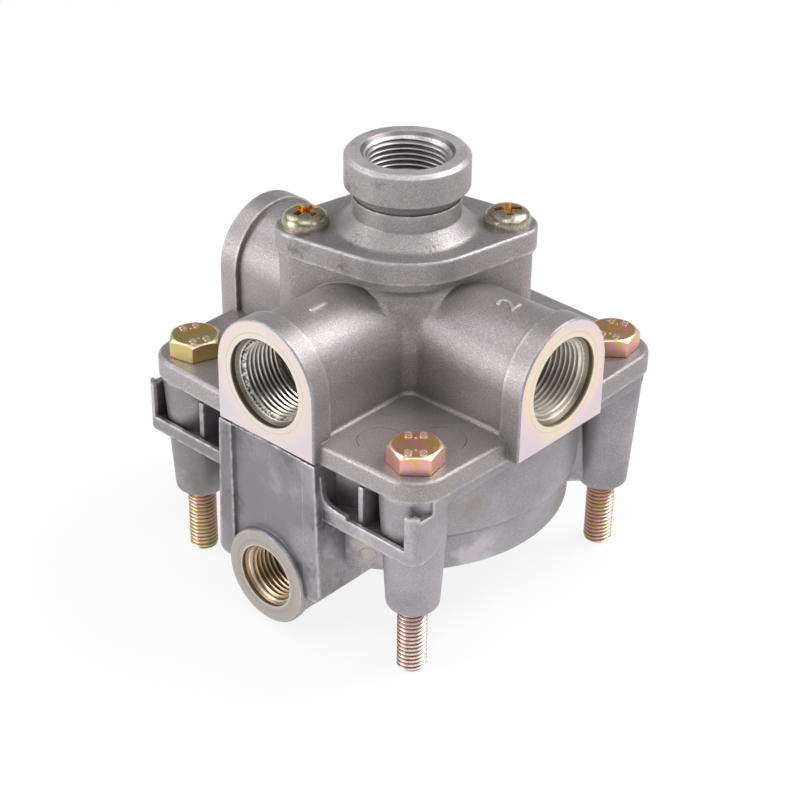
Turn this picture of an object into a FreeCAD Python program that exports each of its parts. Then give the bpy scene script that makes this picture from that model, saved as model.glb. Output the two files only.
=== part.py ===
import FreeCAD, Part
import math
import os
import re

import Sketcher

# Relay valve with two castings clamped by four long bolts that stand out below as mounting studs.
# The origin is the middle of the four studs on the mounting face under the corner bosses, +Z is up
# through the exhaust port, the supply port faces -Y and the two delivery ports face +X and -X.
# All sizes are millimetres.

SIZES = {
    # How far a shape runs into its neighbour, and how far a cut runs past the surface
    "overlap": 1.0,
    "overcut": 1.0,
    # Main heights and the square of the four bolts
    "bolt_pitch": 80.0,
    "joint_height": 37.5,
    "port_rise": 11.5,
    "shoulder_rise": 0.1,
    "head_rise": 3.8,
    "neck_rise": 20.8,
    "supply_stand": 1.64,
    "delivery_stand": 3.03,
    # Flange of the body casting
    "flange_thickness": 5.9,
    "flange_corner": 9.7,
    "side_bow": 1.5,
    "flange_round": 1.3,
    "bolt_hole": 9.0,
    # Column, shoulder and head of the body casting
    "column_radius": 21.4,
    "shoulder_chamfer": 2.0,
    "head_radius": 19.4,
    "head_ear": 7.0,
    "screw_offset": 18.7,
    # Port bosses and their machined collars
    "boss_radius": 15.8,
    "collar_radius": 17.2,
    "collar_length": 6.4,
    "collar_bottom": 38.0,
    "valley_round": 4.0,
    "root_round": 1.2,
    "face_chamfer": 0.4,
    # Large threaded ports, cut to the crest of the thread
    "port_bore": 20.4,
    "port_relief": 24.5,
    "relief_depth": 1.6,
    "port_thread": 15.0,
    "passage": 17.0,
    "passage_end": 19.6,
    "window_width": 12.0,
    "window_lap": 3.0,
    "window_sill": 2.0,
    # Chambers inside the body casting
    "delivery_chamber": 16.4,
    "partition_drop": 3.4,
    "seat_plane_rise": 1.1,
    "seat_hole": 9.4,
    "seat_lip": 1.3,
    "seat_rise": 1.2,
    "valve_chamber": 14.2,
    "guide_bore": 30.4,
    "guide_ledge_depth": 4.6,
    "seal_groove_inner": 15.9,
    "seal_groove_width": 2.3,
    "seal_groove_depth": 1.8,
    "spring_recess_inner": 17.4,
    "spring_recess_width": 3.6,
    "spring_recess_depth": 1.5,
    # Top cover with the exhaust neck
    "cover_thickness": 6.4,
    "cover_radius": 23.4,
    "cover_ear": 8.0,
    "cover_edge": 0.4,
    "neck_radius": 14.4,
    "neck_flare": 3.9,
    "neck_round": 3.0,
    "neck_collar_radius": 16.55,
    "neck_collar_height": 9.8,
    "neck_groove_height": 2.2,
    "neck_groove_depth": 0.6,
    "neck_chamfer": 1.0,
    "neck_mouth": 24.6,
    "neck_thread": 14.0,
    "cover_cavity": 19.4,
    "screw_hole": 6.4,
    # Cover screws
    "screw_size": 6.0,
    "screw_head": 12.0,
    "screw_head_height": 3.9,
    "screw_head_round": 2.0,
    "screw_length": 16.0,
    "screw_point": 0.5,
    "screw_clearance": 0.05,
    "screw_count": 2.0,
    "screw_tap_depth": 13.0,
    "cross_length": 6.4,
    "cross_width": 1.2,
    "cross_depth": 2.3,
    # Control housing
    "cup_bottom": 2.2,
    "cup_radius": 46.24,
    "cup_step": 12.6,
    "cup_upper_radius": 48.4,
    "cup_bore": 84.0,
    "cup_floor": 6.0,
    "tray_depth": 16.9,
    "rim_thickness": 4.4,
    "tray_corner": 9.0,
    "tray_round": 5.0,
    "skirt_half": 49.3,
    "skirt_corner": 9.3,
    "skirt_round": 1.5,
    "front_corner": 3.5,
    "lip_reach": 50.5,
    "lip_height": 3.9,
    "lip_thickness": 1.3,
    "pocket_floor": 1.9,
    "pocket_side": 1.9,
    "pocket_back": 36.0,
    "pocket_inner": 14.0,
    "tab_depth": 2.4,
    "tab_width": 3.3,
    "tab_height": 14.2,
    "notch_depth": 4.0,
    "notch_length": 4.6,
    "rib_offset": 29.3,
    "rib_thickness": 1.5,
    "rib_reach": 48.4,
    "rib_gap": 2.6,
    "boss_top_gap": 0.5,
    "stud_boss_foot": 7.0,
    "stud_boss_draft": 3.5,
    "stud_boss_round": 1.8,
    "stud_web": 8.0,
    "stud_web_bottom": 2.0,
    "web_lap": 2.0,
    "stud_count": 4.0,
    "cup_bottom_round": 1.0,
    "housing_groove_inner": 43.3,
    "housing_groove_width": 2.3,
    "housing_groove_depth": 1.8,
    # Front panel and the control port
    "panel_reach": 52.8,
    "panel_top_half": 17.4,
    "panel_low_half": 18.9,
    "panel_bottom": -5.0,
    "panel_recess_half": 13.0,
    "panel_recess_margin": 2.3,
    "panel_recess_low": 1.0,
    "panel_recess_depth": 1.0,
    "panel_foot_round": 2.5,
    "panel_back": 36.0,
    "control_height": -4.25,
    "control_stand": 1.3,
    "control_ring": 13.8,
    "control_boss": 13.2,
    "control_boss_back": 13.0,
    "control_bore": 14.5,
    "control_mouth": 18.1,
    "control_relief": 1.2,
    "control_thread": 12.0,
    "control_passage": 7.0,
    "riser_offset": 19.0,
    "riser_radius": 2.5,
    # Long hexagon bolts that are the mounting studs
    "bolt_size": 8.0,
    "bolt_shank": 7.2,
    "stud_reach": 20.2,
    "hex_flats": 13.0,
    "hex_height": 5.3,
    "hex_turn": -48.0,
    "crown_share": 0.96,
    "stud_chamfer": 0.9,
    # Relay piston with its rings and spring
    "stop_radius": 8.0,
    "piston_diameter": 83.2,
    "piston_rise": 1.0,
    "piston_rim": 14.0,
    "piston_rim_wall": 5.2,
    "piston_web_rise": 2.6,
    "piston_web": 3.4,
    "piston_ribs": 6.0,
    "piston_rib_thickness": 2.0,
    "piston_rib_height": 5.0,
    "piston_rib_foot": 2.0,
    "hub_radius": 8.0,
    "exhaust_gap": 1.5,
    "exhaust_lip": 1.1,
    "exhaust_recess": 3.0,
    "piston_seal_rise": 3.0,
    "piston_seal_section": 2.6,
    "guide_ring_rise": 8.4,
    "guide_ring_height": 3.0,
    "guide_ring_thickness": 1.7,
    "ring_clearance": 0.05,
    "piston_spring_radius": 19.2,
    "piston_spring_wire": 2.2,
    "piston_spring_turns": 5.0,
    # Inlet and exhaust valve with its guide and spring
    "disc_radius": 12.0,
    "disc_thickness": 3.5,
    "stem_radius": 7.0,
    "stem_bore": 11.2,
    "stem_flange": 1.7,
    "stem_length": 24.0,
    "cup_sheet": 0.6,
    "cup_drop": 2.6,
    "cup_lap": 1.8,
    "valve_spring_radius": 10.6,
    "valve_spring_wire": 1.2,
    "valve_spring_turns": 2.5,
    "guide_clearance": 0.05,
    "guide_tube": 9.0,
    "guide_skirt": 1.6,
    "guide_tube_rise": 5.0,
    "stem_seal_section": 1.6,
    "guide_seal_section": 1.8,
    "cover_seal_section": 1.8,
    "housing_seal_section": 1.8,
    "groove_slack": 0.3,
}

# Sizes that follow from those above, heights measured up from the mounting face
DERIVED = {
    "flange_edge": "bolt_pitch / 2 + flange_corner + side_bow",
    "supply_reach": "flange_edge + supply_stand",
    "delivery_reach": "flange_edge + delivery_stand",
    "collar_back": "supply_reach - collar_length",
    "delivery_back": "delivery_reach - collar_length",
    "flange_top": "joint_height + flange_thickness",
    "port_height": "flange_top + port_rise",
    "shoulder_height": "port_height + boss_radius + shoulder_rise",
    "seat_height": "shoulder_height + head_rise",
    "cover_top": "seat_height + cover_thickness",
    "neck_height": "cover_top + neck_rise",
    "partition_low": "port_height - partition_drop",
    "seat_plane": "port_height + seat_plane_rise",
    "guide_ledge": "seat_height - guide_ledge_depth",
    "guide_middle": "(guide_ledge + seat_height) / 2",
    "disc_top": "seat_plane + disc_thickness",
    "stem_seat": "disc_top + stem_flange",
    "spring_seat": "stem_seat + cup_sheet",
    "piston_low": "cup_floor + piston_rise",
    "web_low": "cup_floor + piston_web_rise",
    "web_top": "web_low + piston_web",
    "rim_bottom": "joint_height - rim_thickness",
    "skirt_bottom": "joint_height - tray_depth",
    "pocket_edge": "skirt_half - pocket_side",
    "panel_recess_top": "joint_height - panel_recess_margin",
    "control_reach": "panel_reach + control_stand",
}

doc = FreeCAD.newDocument("relay_valve")
sheet = doc.addObject("Spreadsheet::Sheet", "Sizes")
for row, (alias, size) in enumerate(SIZES.items(), start=1):
    sheet.set("A%d" % row, alias)
    sheet.set("B%d" % row, str(size))
    sheet.setAlias("B%d" % row, alias)
doc.recompute()


def formula(text):
    """Spell out a size formula in the sheet's own cells."""

    def spelled_out(word):
        alias = word.group()
        if alias in DERIVED:
            return "(" + formula(DERIVED[alias]) + ")"
        return "Sizes." + alias if alias in SIZES else alias

    return re.sub(r"[a-z_]+", spelled_out, text)


def amount(text):
    """Work out a size formula as a plain number."""
    result = sheet.evalExpression(formula(text))
    return float(getattr(result, "Value", result))


def bind(item, name, text):
    item.setExpression(name, formula(text))


def new_body(label):
    body = doc.addObject("PartDesign::Body", label)
    body.Label = label
    return body


def origin_part(body, role):
    return next(part for part in body.Origin.OriginFeatures if part.Role == role)


def sketch_on(body, role, across="0", up="0", out="0"):
    """Start a sketch on one of the body's own planes, shifted across, up and out of that plane."""
    sketch = body.newObject("Sketcher::SketchObject", body.Name + "_sketch")
    sketch.AttachmentSupport = [(origin_part(body, role), "")]
    sketch.MapMode = "FlatFace"
    for axis, text in zip("xyz", (across, up, out)):
        if text != "0":
            bind(sketch, "AttachmentOffset.Base." + axis, text)
    doc.recompute()
    return sketch


def dimension(sketch, kind, places, text):
    """Add a driving dimension to a sketch and tie it to its formula."""
    index = sketch.addConstraint(Sketcher.Constraint(kind, *places, amount(text)))
    if text != "0":
        bind(sketch, "Constraints[%d]" % index, text)


def pin(sketch, shape, point, place):
    dimension(sketch, "DistanceX", (shape, point), place[0])
    dimension(sketch, "DistanceY", (shape, point), place[1])


def polygon(sketch, places):
    """Draw a closed outline of straight lines whose corners are all placed by formulas."""
    corners = [FreeCAD.Vector(amount(across), amount(up), 0) for across, up in places]
    lines = []
    for start, end in zip(corners, corners[1:] + corners[:1]):
        lines.append(sketch.addGeometry(Part.LineSegment(start, end)))
    for line, following in zip(lines, lines[1:] + lines[:1]):
        sketch.addConstraint(Sketcher.Constraint("Coincident", line, 2, following, 1))
    for line, place in zip(lines, places):
        pin(sketch, line, 1, place)


def circle(sketch, radius, place=("0", "0")):
    centre = FreeCAD.Vector(amount(place[0]), amount(place[1]), 0)
    shape = sketch.addGeometry(Part.Circle(centre, FreeCAD.Vector(0, 0, 1), amount(radius)))
    pin(sketch, shape, 3, place)
    dimension(sketch, "Radius", (shape,), radius)


def arch(sketch, radius, height, bottom):
    """Draw a round top on straight upright sides, the outline of a port boss."""
    reach, middle, low = amount(radius), amount(height), amount(bottom)
    round_top = Part.Circle(FreeCAD.Vector(0, middle, 0), FreeCAD.Vector(0, 0, 1), reach)
    top = sketch.addGeometry(Part.ArcOfCircle(round_top, 0.0, math.pi))
    corners = [(-reach, middle), (-reach, low), (reach, low), (reach, middle)]
    places = [FreeCAD.Vector(across, up, 0) for across, up in corners]
    left, base, right = [
        sketch.addGeometry(Part.LineSegment(start, end)) for start, end in zip(places, places[1:])
    ]
    sketch.addConstraint(
        [
            Sketcher.Constraint("Tangent", top, 2, left, 1),
            Sketcher.Constraint("Tangent", right, 2, top, 1),
            Sketcher.Constraint("Coincident", left, 2, base, 1),
            Sketcher.Constraint("Coincident", base, 2, right, 1),
            Sketcher.Constraint("Vertical", left),
            Sketcher.Constraint("Vertical", right),
            Sketcher.Constraint("Horizontal", base),
        ]
    )
    pin(sketch, top, 3, ("0", height))
    dimension(sketch, "Radius", (top,), radius)
    dimension(sketch, "DistanceY", (base, 1), bottom)


def eared_disc(sketch, radius, ear, offset):
    """Draw a round plate with two screw ears, joined by tangent lines."""
    big, small, away = amount(radius), amount(ear), amount(offset) * 2 ** 0.5
    lean = FreeCAD.Rotation(FreeCAD.Vector(0, 0, 1), 45)
    along = (big - small) / away
    rise = (1 - along ** 2) ** 0.5
    touches = []
    for side, turn in ((1, 1), (1, -1), (-1, -1), (-1, 1)):
        normal = FreeCAD.Vector(side * along, turn * rise, 0)
        ear_touch = FreeCAD.Vector(side * away, 0, 0) + normal * small
        touches.append((lean.multVec(ear_touch), lean.multVec(normal * big)))
    ear_tips = [lean.multVec(FreeCAD.Vector(side * (away + small), 0, 0)) for side in (1, -1)]
    disc_tips = [lean.multVec(FreeCAD.Vector(0, side * big, 0)) for side in (1, -1)]
    first, second, third, fourth = touches
    arcs = [
        sketch.addGeometry(Part.Arc(second[0], ear_tips[0], first[0])),
        sketch.addGeometry(Part.Arc(first[1], disc_tips[0], fourth[1])),
        sketch.addGeometry(Part.Arc(fourth[0], ear_tips[1], third[0])),
        sketch.addGeometry(Part.Arc(third[1], disc_tips[1], second[1])),
    ]
    lines = [
        sketch.addGeometry(Part.LineSegment(first[0], first[1])),
        sketch.addGeometry(Part.LineSegment(fourth[1], fourth[0])),
        sketch.addGeometry(Part.LineSegment(third[0], third[1])),
        sketch.addGeometry(Part.LineSegment(second[1], second[0])),
    ]
    for arc, line, following in zip(arcs, lines, arcs[1:] + arcs[:1]):
        sketch.addConstraint(Sketcher.Constraint("Tangent", arc, 2, line, 1))
        sketch.addConstraint(Sketcher.Constraint("Tangent", line, 2, following, 1))
    centres = ((offset, offset), ("0", "0"), ("-" + offset, "-" + offset), ("0", "0"))
    for arc, size, centre in zip(arcs, (ear, radius, ear, radius), centres):
        pin(sketch, arc, 3, centre)
        dimension(sketch, "Radius", (arc,), size)


def add_feature(body, kind, sketch, sizes=None, **settings):
    item = body.newObject("PartDesign::" + kind, body.Name + "_" + kind.lower())
    item.Profile = sketch
    for name, setting in settings.items():
        setattr(item, name, setting)
    for name, text in (sizes or {}).items():
        bind(item, name, text)
    doc.recompute()
    return item


def pad(body, sketch, length, **settings):
    return add_feature(body, "Pad", sketch, {"Length": length}, **settings)


def checked_cut(body, before, item):
    if not item.Shape.Volume < before:
        raise ValueError("a cut in %s takes nothing away" % body.Label)
    return item


def pocket(body, sketch, length, **settings):
    before = body.Shape.Volume
    item = add_feature(body, "Pocket", sketch, {"Length": length}, **settings)
    return checked_cut(body, before, item)


def turn(body, sketch, axis="V_Axis"):
    return add_feature(body, "Revolution", sketch, ReferenceAxis=(sketch, [axis]), Angle=360.0)


def groove(body, sketch, axis="V_Axis"):
    before = body.Shape.Volume
    item = add_feature(body, "Groove", sketch, ReferenceAxis=(sketch, [axis]), Angle=360.0)
    return checked_cut(body, before, item)


def turned_piece(label, places):
    """Make a piece by turning an outline of radius and height about the valve's axis."""
    body = new_body(label)
    outline = sketch_on(body, "XZ_Plane")
    polygon(outline, places)
    turn(body, outline)
    return body


def turned_cut(body, places):
    outline = sketch_on(body, "XZ_Plane")
    polygon(outline, places)
    return groove(body, outline)


def seal_ring(label, section, radius, height):
    """Make a round-section sealing ring about the valve's axis."""
    body = new_body(label)
    outline = sketch_on(body, "XZ_Plane")
    circle(outline, section + " / 2", (radius, height))
    turn(body, outline)
    return body


def coil_spring(label, radius, wire, low, high, turns):
    """Make a coil spring whose end coils lie on two flat seats."""
    body = new_body(label)
    outline = sketch_on(body, "XZ_Plane")
    circle(outline, wire + " / 2", (radius, low + " + " + wire + " / 2"))
    coil = body.newObject("PartDesign::AdditiveHelix", label + "_coil")
    coil.Profile = outline
    coil.ReferenceAxis = (outline, ["V_Axis"])
    coil.Mode = "height-turns-angle"
    bind(coil, "Height", high + " - " + low + " - " + wire)
    bind(coil, "Turns", turns)
    doc.recompute()
    return body


def mirror(body, items, role):
    item = body.newObject("PartDesign::Mirrored", body.Name + "_mirrored")
    item.Originals = items
    item.MirrorPlane = (origin_part(body, role), [""])
    body.Tip = item
    doc.recompute()
    return item


def around(body, items, count):
    """Repeat features in equal steps around the valve's axis."""
    item = body.newObject("PartDesign::PolarPattern", body.Name + "_around")
    item.Originals = items
    item.Axis = (origin_part(body, "Z_Axis"), [""])
    item.Angle = 360.0
    bind(item, "Occurrences", count)
    body.Tip = item
    doc.recompute()
    return item


def dress_edges(body, kind, size, wanted):
    """Round or chamfer the edges of the body that a test picks by their shape and place."""
    base = body.Tip
    names = ["Edge%d" % number for number, edge in enumerate(base.Shape.Edges, start=1) if wanted(edge)]
    if not names:
        raise ValueError("no edge to dress on %s" % body.Label)
    item = body.newObject("PartDesign::" + kind, body.Name + "_" + kind.lower())
    item.Base = (base, names)
    bind(item, "Radius" if kind == "Fillet" else "Size", size)
    doc.recompute()
    return item


def near(first, second, slack=0.01):
    return abs(first - second) < slack


def middle(edge):
    return edge.valueAt((edge.FirstParameter + edge.LastParameter) / 2)


def lies_flat(edge, height):
    """Say whether an edge lies in the level plane at a height."""
    return near(edge.BoundBox.ZMin, height) and near(edge.BoundBox.ZMax, height)


def stands_upright(edge):
    box = edge.BoundBox
    return near(box.XMin, box.XMax) and near(box.YMin, box.YMax)


def port_outline(reach, relief, bore, thread, passage, end, mouth_depth):
    """Give the stepped outline of a threaded port, measured along its axis and out from it."""
    mouth, crest, way = "%s / 2" % relief, "%s / 2" % bore, "%s / 2" % passage
    step = "(%s - %s)" % (reach, mouth_depth)
    cone = "(%s - (%s - %s))" % (step, mouth, crest)
    bottom = "(%s - %s)" % (reach, thread)
    wall = [(reach, mouth), (step, mouth), (cone, crest), (bottom, crest), (bottom, way), (end, way)]
    return [(reach, "0")] + wall + [(end, "0")]


def box_places(left, right, front, back):
    return [(left, front), (right, front), (right, back), (left, back)]


def cut_ring(body, inner, outer, low, high):
    """Cut away a square-section ring about the valve's axis."""
    turned_cut(body, [(inner, low), (outer, low), (outer, high), (inner, high)])


def ring_groove(body, inner, width, mouth, bottom):
    """Cut a square groove for a ring in a level face, from its mouth to its bottom."""
    cut_ring(body, inner, "%s + %s" % (inner, width), mouth, bottom)


def corner_squares(half):
    return [("-" + half, "-" + half), (half, "-" + half), (half, half), ("-" + half, half)]


def make_body_casting():
    """Make the ported casting: flange, column, bosses, collars, chambers and seat."""
    body = new_body("body_casting")
    corner = "(bolt_pitch / 2 + flange_corner)"
    outline = sketch_on(body, "XY_Plane", out="joint_height")
    polygon(
        outline,
        [
            (corner, "-" + corner),
            ("flange_edge", "0"),
            (corner, corner),
            ("0", "flange_edge"),
            ("-" + corner, corner),
            ("-flange_edge", "0"),
            ("-" + corner, "-" + corner),
            ("0", "-flange_edge"),
        ],
    )
    pad(body, outline, "flange_thickness")
    reach = amount(corner)

    def at_corner(edge):
        place = edge.Vertexes[0].Point
        return stands_upright(edge) and near(abs(place.x), reach) and near(abs(place.y), reach)

    dress_edges(body, "Fillet", "flange_corner", at_corner)
    dress_edges(body, "Fillet", "flange_round", lambda edge: lies_flat(edge, amount("flange_top")))

    column = sketch_on(body, "XY_Plane", out="joint_height")
    circle(column, "column_radius")
    pad(body, column, "shoulder_height - joint_height")
    dress_edges(body, "Chamfer", "shoulder_chamfer", lambda edge: lies_flat(edge, amount("shoulder_height")))
    head = sketch_on(body, "XY_Plane", out="joint_height")
    eared_disc(head, "head_radius", "head_ear", "screw_offset")
    pad(body, head, "seat_height - joint_height")

    boss = sketch_on(body, "XZ_Plane", out="collar_back")
    arch(boss, "boss_radius", "port_height", "joint_height + overlap")
    pad(body, boss, "collar_back", Reversed=True)
    bosses = sketch_on(body, "YZ_Plane", out="-delivery_back")
    arch(bosses, "boss_radius", "port_height", "joint_height + overlap")
    pad(body, bosses, "2 * delivery_back")
    round_boss_roots(body)
    add_collars(body)
    cut_body_ports(body)
    cut_body_chambers(body)
    return body


def round_boss_roots(body):
    """Round the valleys between the bosses and the column, then the roots on the flange."""
    flange = amount("flange_top")
    shoulder = amount("shoulder_height - shoulder_chamfer")
    valley = amount("boss_radius") * 2 ** 0.5

    def in_valley(edge):
        place = middle(edge)
        inside = (place.x ** 2 + place.y ** 2) ** 0.5 < valley + amount("shoulder_rise")
        above = place.z > flange and not lies_flat(edge, flange) and edge.BoundBox.ZMax < shoulder + 0.05
        return inside and above and place.x * place.y < 0

    def on_flange(edge):
        place = middle(edge)
        away = max(abs(place.x), abs(place.y))
        return lies_flat(edge, flange) and place.x > 0 > place.y and away < amount("collar_back - overlap")

    dress_edges(body, "Fillet", "valley_round", in_valley)
    dress_edges(body, "Fillet", "root_round", on_flange)


def add_collars(body):
    """Add the machined collar at the mouth of each port."""
    collar = sketch_on(body, "XZ_Plane", out="supply_reach")
    arch(collar, "collar_radius", "port_height", "collar_bottom")
    pad(body, collar, "collar_length", Reversed=True)
    collar = sketch_on(body, "YZ_Plane", out="delivery_reach")
    arch(collar, "collar_radius", "port_height", "collar_bottom")
    mirror(body, [pad(body, collar, "collar_length", Reversed=True)], "YZ_Plane")
    supply, delivery = amount("supply_reach"), amount("delivery_reach")

    def round_mouth(edge):
        box = edge.BoundBox
        front = near(box.YMin, -supply) and near(box.YMax, -supply)
        side = near(box.XMin, box.XMax) and near(abs(box.XMin), delivery)
        return front or side

    dress_edges(body, "Chamfer", "face_chamfer", round_mouth)


def cut_body_ports(body):
    """Cut the three threaded ports and the passages behind them."""
    sizes = ("port_relief", "port_bore", "port_thread", "passage", "passage_end", "relief_depth")
    supply = sketch_on(body, "YZ_Plane", up="port_height")
    polygon(supply, [("-" + along, out) for along, out in port_outline("supply_reach", *sizes)])
    groove(body, supply, "H_Axis")
    delivery = sketch_on(body, "XZ_Plane", up="port_height")
    polygon(delivery, port_outline("delivery_reach", *sizes))
    mirror(body, [groove(body, delivery, "H_Axis")], "YZ_Plane")


def cut_body_chambers(body):
    """Cut the valve chamber, the seat, the delivery chamber, the windows, grooves and screw holes."""
    seat_radius = "seat_hole + seat_lip"
    turned_cut(
        body,
        [
            ("0", "seat_height"),
            ("guide_bore / 2", "seat_height"),
            ("guide_bore / 2", "guide_ledge"),
            ("valve_chamber", "guide_ledge"),
            ("valve_chamber", "seat_plane - seat_rise"),
            (seat_radius, "seat_plane - seat_rise"),
            (seat_radius, "seat_plane"),
            ("seat_hole", "seat_plane"),
            ("seat_hole", "partition_low"),
            ("delivery_chamber", "partition_low"),
            ("delivery_chamber", "joint_height"),
            ("0", "joint_height"),
        ],
    )
    ring_groove(body, "seal_groove_inner", "seal_groove_width", "seat_height", "seat_height - seal_groove_depth")
    ring_groove(
        body, "spring_recess_inner", "spring_recess_width", "joint_height", "joint_height + spring_recess_depth"
    )
    window = sketch_on(body, "XY_Plane", out="seat_plane + seat_rise")
    inner, outer = "-valve_chamber + window_lap", "-passage_end - window_lap"
    polygon(window, box_places("-window_width / 2", "window_width / 2", outer, inner))
    pocket(body, window, "port_height + passage / 2 - seat_plane", Reversed=True)
    window = sketch_on(body, "XY_Plane", out="partition_low - overlap")
    inner, outer = "delivery_chamber - window_lap", "passage_end + window_lap"
    polygon(window, box_places(inner, outer, "-window_width / 2", "window_width / 2"))
    mirror(body, [pocket(body, window, "partition_low - overlap - joint_height - window_sill")], "YZ_Plane")
    holes = sketch_on(body, "XY_Plane", out="joint_height")
    for place in corner_squares("bolt_pitch / 2"):
        circle(holes, "bolt_hole / 2", place)
    pocket(body, holes, "flange_thickness", Reversed=True)
    taps = sketch_on(body, "XY_Plane", out="seat_height")
    for place in (("screw_offset", "screw_offset"), ("-screw_offset", "-screw_offset")):
        circle(taps, "screw_size / 2", place)
    pocket(body, taps, "screw_tap_depth")


def make_control_housing():
    """Make the lower casting: cup, rim, front tray with its pockets, stud bosses, panel and control port."""
    body = new_body("control_housing")
    rim = sketch_on(body, "XY_Plane", out="rim_bottom")
    polygon(rim, box_places("-skirt_half", "skirt_half", "-(bolt_pitch / 2 + overlap)", "skirt_half"))
    pad(body, rim, "joint_height - rim_bottom")
    dress_edges(body, "Fillet", "skirt_corner", lambda edge: stands_upright(edge) and edge.Vertexes[0].Y > 0)
    dress_edges(body, "Fillet", "skirt_round", lambda edge: lies_flat(edge, amount("rim_bottom")))
    add_front_tray(body)
    cut_front_pockets(body)

    cup = sketch_on(body, "XZ_Plane")
    polygon(
        cup,
        [
            ("0", "cup_bottom"),
            ("cup_radius", "cup_bottom"),
            ("cup_radius", "cup_step"),
            ("cup_upper_radius", "cup_step + cup_upper_radius - cup_radius"),
            ("cup_upper_radius", "joint_height"),
            ("0", "joint_height"),
        ],
    )
    turn(body, cup)
    low, around_cup = amount("cup_bottom"), amount("6 * cup_radius")
    dress_edges(
        body, "Fillet", "cup_bottom_round", lambda edge: lies_flat(edge, low) and edge.Length > around_cup
    )
    add_stud_bosses(body)
    add_pocket_ribs(body)
    add_panel(body)
    add_control_port(body)
    cut_control_chamber(body)
    return body


def add_front_tray(body):
    """Add the tray under the two front bolts, its side walls ending at the stud bosses."""
    boss_side = "bolt_pitch / 2"
    tray_back = "(bolt_pitch / 2 - tray_corner)"
    tray = sketch_on(body, "XY_Plane", out="skirt_bottom")
    polygon(
        tray,
        [
            ("-skirt_half", "-lip_reach"),
            ("skirt_half", "-lip_reach"),
            ("skirt_half", "-" + boss_side),
            (boss_side, "-" + tray_back),
            ("-" + boss_side, "-" + tray_back),
            ("-skirt_half", "-" + boss_side),
        ],
    )
    pad(body, tray, "joint_height - skirt_bottom")
    low, front = amount("skirt_bottom"), -amount("lip_reach")

    def at_boss(edge):
        """Pick the sloping lower edge beside each stud boss."""
        box = edge.BoundBox
        sloping = not near(box.XMin, box.XMax) and not near(box.YMin, box.YMax)
        return sloping and lies_flat(edge, low) and middle(edge).y > -amount(boss_side)

    def at_front(edge):
        return stands_upright(edge) and near(edge.Vertexes[0].Y, front)

    dress_edges(body, "Fillet", "front_corner", at_front)
    dress_edges(body, "Fillet", "tray_round", at_boss)


def cut_front_pockets(body):
    """Cut the pocket beside each front bolt, leaving a low front lip, an end tab and a side wall."""
    inner_front = "(lip_reach - lip_thickness)"
    pockets = sketch_on(body, "XY_Plane", out="skirt_bottom + pocket_floor")
    polygon(pockets, box_places("pocket_inner", "pocket_edge", "-" + inner_front, "-pocket_back"))
    depth = "joint_height - skirt_bottom - pocket_floor"
    first = pocket(body, pockets, depth, Reversed=True)
    mouths = sketch_on(body, "XY_Plane", out="skirt_bottom + lip_height")
    opening_end = "(skirt_half - tab_width)"
    front_out, front_in = "-(lip_reach + overcut)", "-" + inner_front + " + overcut"
    polygon(mouths, box_places("pocket_inner", opening_end, front_out, front_in))
    second = pocket(body, mouths, "joint_height - skirt_bottom - lip_height", Reversed=True)
    notches = sketch_on(body, "XY_Plane", out="joint_height")
    notch_front = "(lip_reach - tab_depth)"
    side_out = "skirt_half + overcut"
    polygon(notches, box_places(opening_end, side_out, "-" + notch_front, "-" + notch_front + " + notch_length"))
    third = pocket(body, notches, "notch_depth")
    tops = sketch_on(body, "XY_Plane", out="joint_height")
    polygon(tops, box_places(opening_end + " - overcut", side_out, front_out, "-" + notch_front))
    fourth = pocket(body, tops, "joint_height - skirt_bottom - tab_height")
    mirror(body, [first, second, third, fourth], "YZ_Plane")


def add_stud_bosses(body):
    """Add the four drafted bosses under the bolts, each with a web to the cup."""
    rise = "(joint_height - boss_top_gap)"
    half = "bolt_pitch / 2"
    boss = sketch_on(body, "XZ_Plane", across=half, out=half)
    top = "stud_boss_foot + %s * tan(stud_boss_draft)" % rise
    polygon(boss, [("0", "0"), ("stud_boss_foot", "0"), (top, rise), ("0", rise)])
    first = turn(body, boss)
    web = sketch_on(body, "XY_Plane", out="stud_web_bottom")
    start = "(cup_radius / sqrt(2) - web_lap)"
    spread = "(stud_web / 2 / sqrt(2))"
    polygon(
        web,
        [
            (start + " - " + spread, "-" + start + " - " + spread),
            (half + " - " + spread, "-" + half + " - " + spread),
            (half + " + " + spread, "-" + half + " + " + spread),
            (start + " + " + spread, "-" + start + " + " + spread),
        ],
    )
    second = pad(body, web, "skirt_bottom + pocket_floor - stud_web_bottom")
    around(body, [first, second], "stud_count")
    around_foot = amount("6 * stud_boss_foot")
    dress_edges(
        body, "Fillet", "stud_boss_round", lambda edge: lies_flat(edge, 0.0) and edge.Length > around_foot
    )


def add_pocket_ribs(body):
    """Add the thin upright rib that ties each pocket's lip to the cup."""
    ribs = sketch_on(body, "XY_Plane", out="skirt_bottom")
    low = "rib_offset - rib_thickness / 2"
    high = "rib_offset + rib_thickness / 2"
    polygon(ribs, box_places(low, high, "-rib_reach", "-cup_radius / 2"))
    mirror(body, [pad(body, ribs, "joint_height - skirt_bottom - rib_gap")], "YZ_Plane")


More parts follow.
